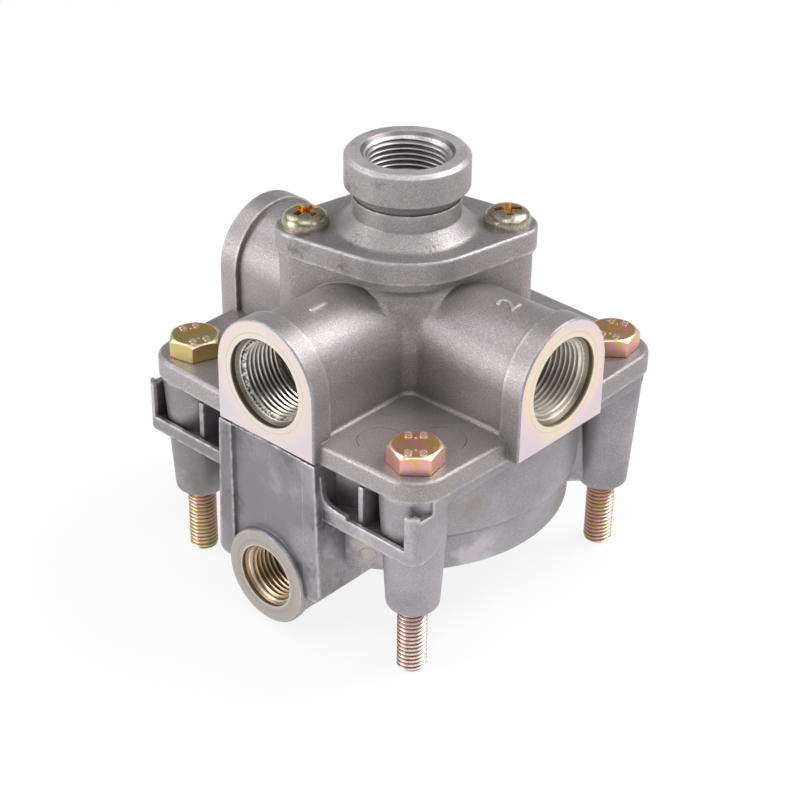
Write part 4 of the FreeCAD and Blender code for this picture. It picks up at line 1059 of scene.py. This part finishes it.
LOWER_STAINS_AND_SHADE = (
    ((-4.0, -51.8, 22.0), 32.0, 90.0, 0.75, 0.9, (0.225, 0.22, 0.24)),
    ((42.5, -18.0, 4.0), 10.0, 220.0, 0.56, 0.85, (0.58, 0.53, 0.57)),
    ((24.0, -39.6, 8.0), 9.0, 240.0, 0.5, 0.7, (0.60, 0.54, 0.50)),
    ((43.1, -22.0, 22.5), 8.0, 200.0, 0.42, 0.5, (0.34, 0.285, 0.23)),
    ((-9.0, -52.0, 3.0), 9.0, 300.0, 0.35, 0.4, (0.20, 0.185, 0.18)),
    ((-12.0, -52.0, 34.0), 9.0, 420.0, 0.36, 0.55, (0.12, 0.115, 0.12)),
    ((7.0, -52.4, 36.0), 8.0, 520.0, 0.34, 0.5, (0.12, 0.115, 0.12)),
    ((-13.0, -52.0, 14.0), 7.0, 500.0, 0.34, 0.5, (0.13, 0.12, 0.12)),
    ((4.0, -52.4, 26.0), 10.0, 200.0, 0.42, 0.5, (0.42, 0.39, 0.41)),
    ((13.5, -52.8, 4.0), 8.0, 360.0, 0.36, 0.5, (0.13, 0.12, 0.12)),
    ((18.0, -48.0, 12.0), 8.0, 320.0, 0.44, 0.6, (0.56, 0.53, 0.57)),
    ((18.5, -50.0, 21.0), 6.0, 520.0, 0.38, 0.6, (0.12, 0.115, 0.11)),
    ((18.0, -46.0, -2.0), 7.0, 420.0, 0.40, 0.5, (0.15, 0.14, 0.14)),
    ((40.0, -44.5, 6.0), 8.0, 300.0, 0.36, 0.35, (0.22, 0.21, 0.21)),
    # These two darken the left stud boss under the tray: painted shade.
    ((-40.0, -44.0, 6.0), 10.0, 260.0, 0.44, 0.5, (0.19, 0.175, 0.165)),
    ((-37.0, -46.0, 17.0), 26.0, 130.0, 0.70, 0.7, (0.215, 0.205, 0.20)),
    ((-15.6, -53.0, 27.0), 9.0, 300.0, 0.55, 0.6, (0.19, 0.185, 0.19)),
    ((-15.6, -53.0, 11.0), 10.0, 260.0, 0.55, 0.6, (0.20, 0.19, 0.195)),
    ((32.0, -50.6, 22.0), 8.0, 700.0, 0.34, 0.5, (0.60, 0.56, 0.57)),
)


# Castings


class VALVE_OT_ported_casting(bpy.types.Operator):
    """Make the upper casting with its three machined ports"""

    bl_idname = "valve.ported_casting"
    bl_label = "Ported casting"

    def execute(self, context):
        looks = context.scene.valve_castings
        worn_and_highlight_colour = (0.66, 0.63, 0.63)
        materials = [cast_finish("Upper casting", looks.upper_colour, looks, 0.48, worn_and_highlight_colour, UPPER_STAINS_AND_SHADE)]
        faces = (
            ("Machined supply face", SUPPLY, (0.78, 0.71, 0.61), (0.78, 0.67, 0.65), (0.22, 0.185, 0.145)),
            ("Machined right face", RIGHT, (0.88, 0.76, 0.54), (0.84, 0.67, 0.69), (0.28, 0.235, 0.17)),
            ("Machined left face", LEFT, (0.76, 0.70, 0.63), (0.78, 0.70, 0.68), (0.25, 0.21, 0.16)),
        )
        for face in faces:
            materials.append(machined_finish(*face))
        mesh = machined_casting("ported_casting", "body_casting", (SUPPLY, RIGHT, LEFT), materials)
        show("ported_casting", mesh, 28.0, stands_for=["body_casting"])
        return {"FINISHED"}


class VALVE_OT_exhaust_cover(bpy.types.Operator):
    """Make the cover with the exhaust neck"""

    bl_idname = "valve.exhaust_cover"
    bl_label = "Exhaust cover"

    def execute(self, context):
        looks = context.scene.valve_castings
        grey = (0.17, 0.16, 0.165)
        materials = [
            cast_finish("Cover casting", looks.cover_colour, looks, 0.46, (0.74, 0.71, 0.73), COVER_STAINS),
            machined_finish("Machined exhaust mouth", EXHAUST, grey, grey, grey, (0.62, 0.59, 0.60)),
            # A lighter copy of the cover's finish on the neck's top chamfer, with brighter edges: partly
            # rubbed metal, partly painted highlight.
            cast_finish("Worn chamfer with painted highlight", (0.47, 0.44, 0.45), looks, 0.46, (0.97, 0.94, 0.95), blotches=1.0),
            # A darker copy of the cover's finish in the groove under the collar: painted shade.
            cast_finish("Groove with painted shade", (0.27, 0.25, 0.25), looks, 0.6, (0.38, 0.36, 0.36)),
            # A lighter copy of the cover's finish on the up-facing ring round the mouth: painted light from
            # above.
            cast_finish("Faced mouth with painted light", (0.58, 0.545, 0.555), looks, 0.46, (0.80, 0.77, 0.78), blotches=0.8),
        ]
        chamfer, groove, faced = 2, 3, 4
        mouth_low, mouth_inner, flat = 100.3, 12.2, 0.1
        groove_low, groove_high, groove_inner, groove_outer = 89.6, 92.4, 10.0, 15.6
        mesh = machined_casting("exhaust_cover", "top_cover", [EXHAUST], materials)
        for face in mesh.polygons:
            corners = [mesh.vertices[index].co / MM for index in face.vertices]
            inner = min(math.hypot(corner.x, corner.y) for corner in corners)
            low, high = min(corner.z for corner in corners), max(corner.z for corner in corners)
            if low > mouth_low and inner > mouth_inner:
                face.material_index = faced if high - low < flat else chamfer
            elif groove_low < low and high < groove_high and groove_inner < inner < groove_outer:
                face.material_index = groove
        show("exhaust_cover", mesh, 28.0, stands_for=["top_cover"])
        return {"FINISHED"}


def open_panel(work):
    """Run the front panel's recess up to the joint and slope its floor out to the right-hand rib."""
    floor, half, top, joint = -51.8 * MM, 13.0 * MM, 35.2 * MM, 37.42 * MM
    skin, slope = -52.9 * MM, 0.85 * MM
    for vertex in work.verts:
        place = vertex.co
        if abs(place.x) > half + 0.1 * MM or not skin < place.y < floor + 0.1 * MM:
            continue
        if abs(place.z - top) < 0.3 * MM:
            place.z = joint
        if abs(place.y - floor) < 0.03 * MM and place.z > 0.0:
            place.y = floor - slope * (place.x + half) / (2.0 * half)


def make_pocket_lip(cast):
    """Make the thin curved web between the panel's right-hand rib and the tray's rim."""
    edge = (
        (17.3, 34.2), (17.75, 33.6), (18.0, 31.5), (18.2, 29.2),
        (18.7, 27.7), (19.8, 26.7), (22.0, 26.1), (26.5, 25.7),
    )
    foot = (26.5, 24.6), (17.0, 24.6), (17.0, 34.2)
    back, thickness = -50.95, 1.5
    work = bmesh.new()
    front = work.faces.new([work.verts.new((x * MM, back * MM, z * MM)) for x, z in edge + foot])
    for corner in bmesh.ops.extrude_face_region(work, geom=[front])["geom"]:
        if isinstance(corner, bmesh.types.BMVert):
            corner.co.y += thickness * MM
    bmesh.ops.recalc_face_normals(work, faces=work.faces)
    mesh = bpy.data.meshes.new("pocket_lip")
    work.to_mesh(mesh)
    work.free()
    set_materials(mesh, [cast])
    show("pocket_lip", mesh, 28.0)


class VALVE_OT_control_casting(bpy.types.Operator):
    """Make the lower casting with the control port"""

    bl_idname = "valve.control_casting"
    bl_label = "Control casting"

    def execute(self, context):
        looks = context.scene.valve_castings
        surface = {"stains_and_shade": LOWER_STAINS_AND_SHADE, "scratches": 0.12, "blotches": 0.75, "reach": 3.0, "grainy": 0.7}
        cast = cast_finish("Lower casting", looks.lower_colour, looks, 0.44, (0.68, 0.65, 0.66), **surface)
        tones = (0.43, 0.39, 0.355), (0.47, 0.425, 0.39), (0.40, 0.28, 0.155)
        ring = machined_finish("Machined control ring", CONTROL, *tones)
        mesh = machined_casting("control_casting", "control_housing", [CONTROL], [cast, ring], open_panel)
        show("control_casting", mesh, 28.0, stands_for=["control_housing"])
        make_pocket_lip(cast)
        return {"FINISHED"}


# Threads, bolts and screws


def threaded_wall(tree, sizes, hole, crest, material):
    """Give a port's threaded wall, with the place that it has to go to."""
    cone = hole["relief"] + hole["mouth"]
    start = cone - hole["wall"]
    turns = (hole["thread"] - start) / sizes.port_pitch
    settings = {
        "Segments": sizes.segments,
        "Rows": math.ceil((turns + 1.0) * sizes.rows),
        "Rows per Pitch": sizes.rows,
        "Pitch": sizes.port_pitch,
        "Start": start,
        "End": hole["thread"],
        "Crest Radius": crest,
        "Root Radius": crest + sizes.depth,
        "Cone Radius": cone,
        "Back Radius": hole["wall"] + NEAR,
        "Side": 1.0,
        "Material": material,
    }
    return grow(tree, settings), Matrix.Translation(hole["centre"]) @ turn_to(-hole["axis"])


class VALVE_OT_port_threads(bpy.types.Operator):
    """Cut the threads of all five ports"""

    bl_idname = "valve.port_threads"
    bl_label = "Port threads"

    def execute(self, context):
        sizes = context.scene.valve_threads
        tree = thread_tree()
        silver = (0.74, 0.70, 0.63), (0.085, 0.075, 0.05), 0.27
        grey = (0.56, 0.535, 0.54), (0.19, 0.18, 0.185), 0.4
        threads = (
            (SUPPLY, thread_finish("Supply thread", SUPPLY, *silver, 0.7)),
            # Lighter crest and root colours than the other threads: painted light inside the right-hand port.
            (RIGHT, thread_finish("Right thread with painted light", RIGHT, (0.93, 0.87, 0.80), (0.36, 0.31, 0.25), 0.42)),
            (LEFT, thread_finish("Left thread", LEFT, *silver)),
            (EXHAUST, thread_finish("Exhaust thread", EXHAUST, *grey)),
        )
        parts = [threaded_wall(tree, sizes, hole, sizes.port_crest, material) for hole, material in threads]
        show_joined("port_threads", parts, [material for hole, material in threads], 50.0)
        brown = thread_finish("Control thread", CONTROL, (0.66, 0.50, 0.33), (0.20, 0.14, 0.075), 0.36)
        part = threaded_wall(tree, sizes, CONTROL, sizes.control_crest, brown)
        show_joined("control_thread", [part], [brown], 50.0)
        return {"FINISHED"}


def make_head_numbers(looks):
    """Raise the strength class twice on each hexagon head."""
    pink = zinc_finish("Raised numbers", (looks.rose, (0.95, 0.66, 0.64), looks.rose), 0.5, 0.6, 500.0, 0.3)
    parts = []
    top = FLANGE_TOP * MM + looks.head_height
    for side, end, turn in ((1, -1, 42.0), (1, 1, 20.0), (-1, 1, 42.0), (-1, -1, 68.0)):
        for half in (0.0, 180.0):
            word = digit_mesh("8.8", 4.1 * MM, 0.12 * MM, 0.09 * MM, 1.2)
            word.transform(Matrix.Translation((0.0, 3.9 * MM, 0.0)))
            spot = Matrix.Translation((side * BOLT_OFFSET * MM, end * BOLT_OFFSET * MM, top))
            parts.append((word, spot @ Matrix.Rotation(math.radians(turn + half), 4, "Z")))
    show_joined("head_numbers", parts, [pink], 40.0)


class VALVE_OT_hex_bolts(bpy.types.Operator):
    """Make the four long hexagon bolts"""

    bl_idname = "valve.hex_bolts"
    bl_label = "Hexagon bolts"

    def execute(self, context):
        sizes, looks = context.scene.valve_threads, context.scene.valve_fasteners
        colours = (looks.green, looks.gold, looks.rose)
        zinc = zinc_finish("Yellow zinc", colours, 0.0, 1.15, 280.0, 0.36, silver=0.8, crown=0.85)
        settings = {
            "Across Flats": looks.flats,
            "Head Height": looks.head_height,
            "Head Turn": math.radians(-78.0),
            "Head Base": FLANGE_TOP * MM,
            "Shank Radius": 3.6 * MM,
            "Stud Radius": 4.0 * MM,
            "Stud Reach": STUD_REACH * MM,
            "Tip Radius": 3.1 * MM,
            "Thread Pitch": sizes.stud_pitch,
            "Thread Depth": sizes.stud_depth,
            "Rows per Pitch": sizes.rows,
            "Pattern Radius": BOLT_OFFSET * MM * math.sqrt(2.0),
            "Material": zinc,
        }
        mesh = grow(hex_bolt_tree(thread_tree()), settings)
        mesh = joined_mesh("hex_bolts", [(mesh, Matrix())], [zinc])
        show("hex_bolts", mesh, 32.0, stands_for=["mounting_bolts"])
        make_head_numbers(looks)
        return {"FINISHED"}


class VALVE_OT_pan_screws(bpy.types.Operator):
    """Make the two pan-head cover screws"""

    bl_idname = "valve.pan_screws"
    bl_label = "Cover screws"

    def execute(self, context):
        looks = context.scene.valve_fasteners
        colours = (0.40, 0.40, 0.25), (0.56, 0.525, 0.42), (0.50, 0.40, 0.28)
        zinc = zinc_finish("Screw zinc", colours, 0.3, 0.9, 260.0, 0.32, pitted=0.6)
        colours = (0.34, 0.42, 0.07), (0.72, 0.46, 0.08), (0.55, 0.15, 0.08)
        recess = zinc_finish("Screw recess", colours, 0.55, 2.4, 500.0, 0.2)
        settings = {
            "Head Diameter": looks.screw_head,
            "Head Height": looks.screw_height,
            "Head Base": COVER_TOP * MM,
            "Cross Length": 9.0 * MM,
            "Cross Width": 2.4 * MM,
            "Cross Turn": -math.pi / 4.0,
            "Spread": SCREW_OFFSET * MM * math.sqrt(2.0),
            "Material": zinc,
        }
        mesh = joined_mesh("pan_screws", [(grow(pan_screw_tree(), settings), Matrix())], [zinc])
        mesh.materials.append(recess)
        rim = looks.screw_head * 0.5
        for face in mesh.polygons:
            spot = face.center
            reach = math.hypot(abs(spot.x) - SCREW_OFFSET * MM, abs(spot.y) - SCREW_OFFSET * MM)
            dome = looks.screw_height * (1.0 - min(1.0, reach / rim) ** 3.2) ** 0.31
            if 0.3 * MM < spot.z - COVER_TOP * MM < dome - 0.12 * MM and reach < rim * 0.66:
                face.material_index = 1
        show("pan_screws", mesh, 32.0, stands_for=["cover_screws"])
        return {"FINISHED"}


class VALVE_OT_cast_marks(bpy.types.Operator):
    """Make the cast port numbers and ejector circles"""

    bl_idname = "valve.cast_marks"
    bl_label = "Cast marks"

    def execute(self, context):
        looks = context.scene.valve_castings
        parts = []
        for digits, x, y, turn, across in (("1", 2.0, -35.4, 0.0, 0), ("2", 36.0, -0.9, 90.0, 1)):
            mesh = digit_mesh(digits, looks.digit_height * 1.35, 0.35 * MM, 0.12 * MM)
            spot = Matrix.Translation((x * MM, y * MM, 0.0)) @ Matrix.Rotation(math.radians(turn), 4, "Z")
            mesh.transform(spot)
            for vertex in mesh.vertices:
                rise = math.sqrt((BOSS_RADIUS * MM) ** 2 - vertex.co[across] ** 2)
                vertex.co.z += PORT_HEIGHT * MM + rise
            parts.append((mesh, Matrix()))
        show_joined("port_numbers", parts, [bpy.data.materials["Upper casting"]], 40.0)
        dark = cast_finish("Ejector marks", (0.20, 0.18, 0.18), looks, 0.5, (0.42, 0.39, 0.39))
        tree = ridge_tree()
        ridge = grow(tree, {"Radius": 6.0 * MM, "Width": 0.3 * MM, "Height": 0.04 * MM, "Material": dark})
        parts = []
        for x, y in ((27.0, -38.6), (38.1, -27.6)):
            parts.append((ridge, Matrix.Translation((x * MM, y * MM, FLANGE_TOP * MM))))
        show_joined("ejector_circles", parts, [dark], 60.0)
        stamp = grow(tree, {"Radius": 2.3 * MM, "Width": 0.5 * MM, "Height": 0.12 * MM, "Material": dark})
        outward = Vector((23.8, -39.6, 0.0)).normalized()
        spot = Matrix.Translation(outward * CUP_RADIUS * MM + UPWARD * (6.8 * MM)) @ turn_to(outward)
        cast = bpy.data.materials["Lower casting"]
        show_joined("cup_stamp", [(stamp, spot)], [cast], 60.0)
        return {"FINISHED"}


# Inner pieces


class VALVE_OT_inner_pieces(bpy.types.Operator):
    """Finish the piston, valve, guide and seals"""

    bl_idname = "valve.inner_pieces"
    bl_label = "Inner pieces"

    def execute(self, context):
        rubber = soft_finish("Black rubber", (0.012, 0.012, 0.013), 0.55, 900.0)
        finishes = {
            "relay_piston": inner_metal("Piston alloy", (0.52, 0.52, 0.53), 0.36),
            "valve_guide": inner_metal("Guide alloy", (0.50, 0.50, 0.51), 0.34),
            "valve_stem": inner_metal("Stem brass", (0.60, 0.42, 0.17), 0.28),
            "disc_cup": inner_metal("Cup steel", (0.48, 0.47, 0.45), 0.3),
            "piston_guide_ring": soft_finish("Guide plastic", (0.62, 0.60, 0.54), 0.45, 500.0),
        }
        for node in ("piston_seal", "valve_disc", "stem_seal", "guide_seal", "cover_seal", "housing_seal"):
            finishes[node] = rubber
        for node, material in finishes.items():
            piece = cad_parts[node]
            if not piece.data.materials:
                piece.data.materials.append(material)
            for slot in piece.material_slots:
                slot.material = material
        return {"FINISHED"}


class VALVE_OT_springs(bpy.types.Operator):
    """Make the springs of the piston and the valve"""

    bl_idname = "valve.springs"
    bl_label = "Springs"

    def execute(self, context):
        steel = inner_metal("Spring steel", (0.30, 0.30, 0.31), 0.32)
        valve_steel = inner_metal("Valve spring steel", (0.34, 0.34, 0.35), 0.3)
        springs = (
            ("piston_spring", "piston_slide", 5.0 * MM, steel),
            ("valve_spring", "valve_slide", 3.5 * MM, valve_steel),
        )
        for node, joint, travel, material in springs:
            mesh, work = solid_copy(node)
            work.to_mesh(mesh)
            work.free()
            mesh = thinned(mesh, 0.3)
            set_materials(mesh, [material])
            coil = show(node + "_coil", mesh, 40.0, stands_for=[node])
            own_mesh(coil)
        return {"FINISHED"}


# Studio


def towards(azimuth, elevation):
    """Give the direction from the valve towards a viewer or lamp."""
    level = math.cos(elevation)
    return Vector((math.sin(azimuth) * level, -math.cos(azimuth) * level, math.sin(elevation)))


def soft_lamp(name, azimuth, rise, power):
    """Hang a soft box around the valve."""
    lamp = bpy.data.lights.new(name, "AREA")
    lamp.size = 0.5
    lamp.energy = power
    direction = towards(azimuth, math.radians(rise))
    holder = add_object(name, lamp)
    holder.location = Vector((0.0, 0.0, 0.045)) + direction * 0.9
    holder.rotation_euler = (-direction).to_track_quat("-Z", "Y").to_euler()


def make_floor():
    """Lay a pale floor that the camera and shiny metal see nearly white, apart from the shadow."""
    material, nodes = new_material("Pale floor")
    surface = material.node_tree.nodes["Principled BSDF"]
    nodes.fill(surface.inputs, {"Base Color": (0.92, 0.92, 0.92), "Roughness": 0.9})
    white = nodes.give("ShaderNodeEmission", {"Color": (1.0, 1.0, 1.0), "Strength": 1.0})
    ray = nodes.add("ShaderNodeLightPath").outputs
    seen = nodes.math("MAXIMUM", ray["Is Glossy Ray"], ray["Is Transmission Ray"])
    seen = nodes.math("MAXIMUM", ray["Is Camera Ray"], seen)
    blend = nodes.give("ShaderNodeMixShader", {0: nodes.times(seen, 0.86), 1: surface.outputs[0], 2: white})
    nodes.join(material.node_tree.nodes["Material Output"].inputs["Surface"], blend)
    half, low = 8.0, -20.25 * MM
    corners = [(-half, -half, low), (half, -half, low), (half, half, low), (-half, half, low)]
    mesh = bpy.data.meshes.new("floor")
    mesh.from_pydata(corners, [], [(0, 1, 2, 3)])
    mesh.materials.append(material)
    floor = add_object("floor", mesh)


def make_world(strength):
    """Surround the valve with white at the level of the floor and a dimmer sky above."""
    world = bpy.data.worlds.new("Pale surroundings")
    bpy.context.scene.world = world
    world.use_nodes = True
    nodes = Nodes(world.node_tree)
    direction = nodes.add("ShaderNodeTexCoord").outputs["Generated"]
    rise = nodes.remap(nodes.split(direction)[2], 0.03, 0.16, 1.0, strength)
    nodes.fill(world.node_tree.nodes["Background"].inputs, {"Color": (1.0, 1.0, 1.0), "Strength": rise})


class VALVE_OT_stage(bpy.types.Operator):
    """Set up the floor, surroundings, lamps and camera"""

    bl_idname = "valve.stage"
    bl_label = "Studio"

    def execute(self, context):
        studio = context.scene.valve_studio
        azimuth, roll = studio.azimuth, studio.roll
        make_floor()
        make_world(studio.sky)
        lamps = (
            ("Left soft box", -70.0, 15.0, studio.left_power),
            ("Right soft box", 108.0, 50.0, studio.right_power),
            ("Rear soft box", -110.0, 50.0, studio.rear_power),
            ("Front soft box", 60.0, 42.0, studio.front_power),
            ("Top soft box", -8.0, 64.0, studio.top_power),
        )
        for name, turn, rise, power in lamps:
            soft_lamp(name, azimuth + math.radians(turn), rise, power)
        back = towards(azimuth, studio.elevation)
        right = Vector((math.cos(azimuth), math.sin(azimuth), 0.0))
        up = back.cross(right)
        level_right = right * math.cos(roll) + up * math.sin(roll)
        level_up = up * math.cos(roll) - right * math.sin(roll)
        turn = Matrix((level_right, level_up, back)).transposed().to_4x4()
        lens = bpy.data.cameras.new("Camera")
        lens.sensor_width = 36.0
        lens.lens = studio.focal_length
        camera = add_object("Camera", lens)
        camera.matrix_world = Matrix.Translation(studio.camera_place) @ turn
        bpy.context.scene.camera = camera
        bpy.context.scene.view_settings.view_transform = "Standard"
        return {"FINISHED"}


# Panel and registration

OPERATORS = (
    VALVE_OT_ported_casting,
    VALVE_OT_exhaust_cover,
    VALVE_OT_control_casting,
    VALVE_OT_port_threads,
    VALVE_OT_hex_bolts,
    VALVE_OT_pan_screws,
    VALVE_OT_cast_marks,
    VALVE_OT_inner_pieces,
    VALVE_OT_springs,
    VALVE_OT_stage,
)
SETTINGS = {
    "valve_castings": CastingLooks,
    "valve_threads": ThreadSizes,
    "valve_fasteners": FastenerLooks,
    "valve_studio": StudioSettings,
}


class VALVE_PT_pieces(bpy.types.Panel):
    """List the steps that build the valve"""

    bl_idname = "VALVE_PT_pieces"
    bl_label = "Relay valve"
    bl_space_type = "VIEW_3D"
    bl_region_type = "UI"
    bl_category = "Relay valve"

    def draw(self, context):
        for operator in OPERATORS:
            self.layout.operator(operator.bl_idname)
        for name, group in SETTINGS.items():
            settings = getattr(context.scene, name)
            box = self.layout.box()
            for label in group.__annotations__:
                box.prop(settings, label)


def register():
    for name, group in SETTINGS.items():
        bpy.utils.register_class(group)
        setattr(bpy.types.Scene, name, PointerProperty(type=group))
    for operator in OPERATORS:
        bpy.utils.register_class(operator)
    bpy.utils.register_class(VALVE_PT_pieces)


def unregister():
    bpy.utils.unregister_class(VALVE_PT_pieces)
    for operator in reversed(OPERATORS):
        bpy.utils.unregister_class(operator)
    for name, group in reversed(SETTINGS.items()):
        delattr(bpy.types.Scene, name)
        bpy.utils.unregister_class(group)


def main():
    register()
    bpy.ops.valve.ported_casting()
    bpy.ops.valve.exhaust_cover()
    bpy.ops.valve.control_casting()
    bpy.ops.valve.port_threads()
    bpy.ops.valve.hex_bolts()
    bpy.ops.valve.pan_screws()
    bpy.ops.valve.cast_marks()
    bpy.ops.valve.inner_pieces()
    bpy.ops.valve.springs()
    bpy.ops.valve.stage()


if __name__ == "__main__":
    main()
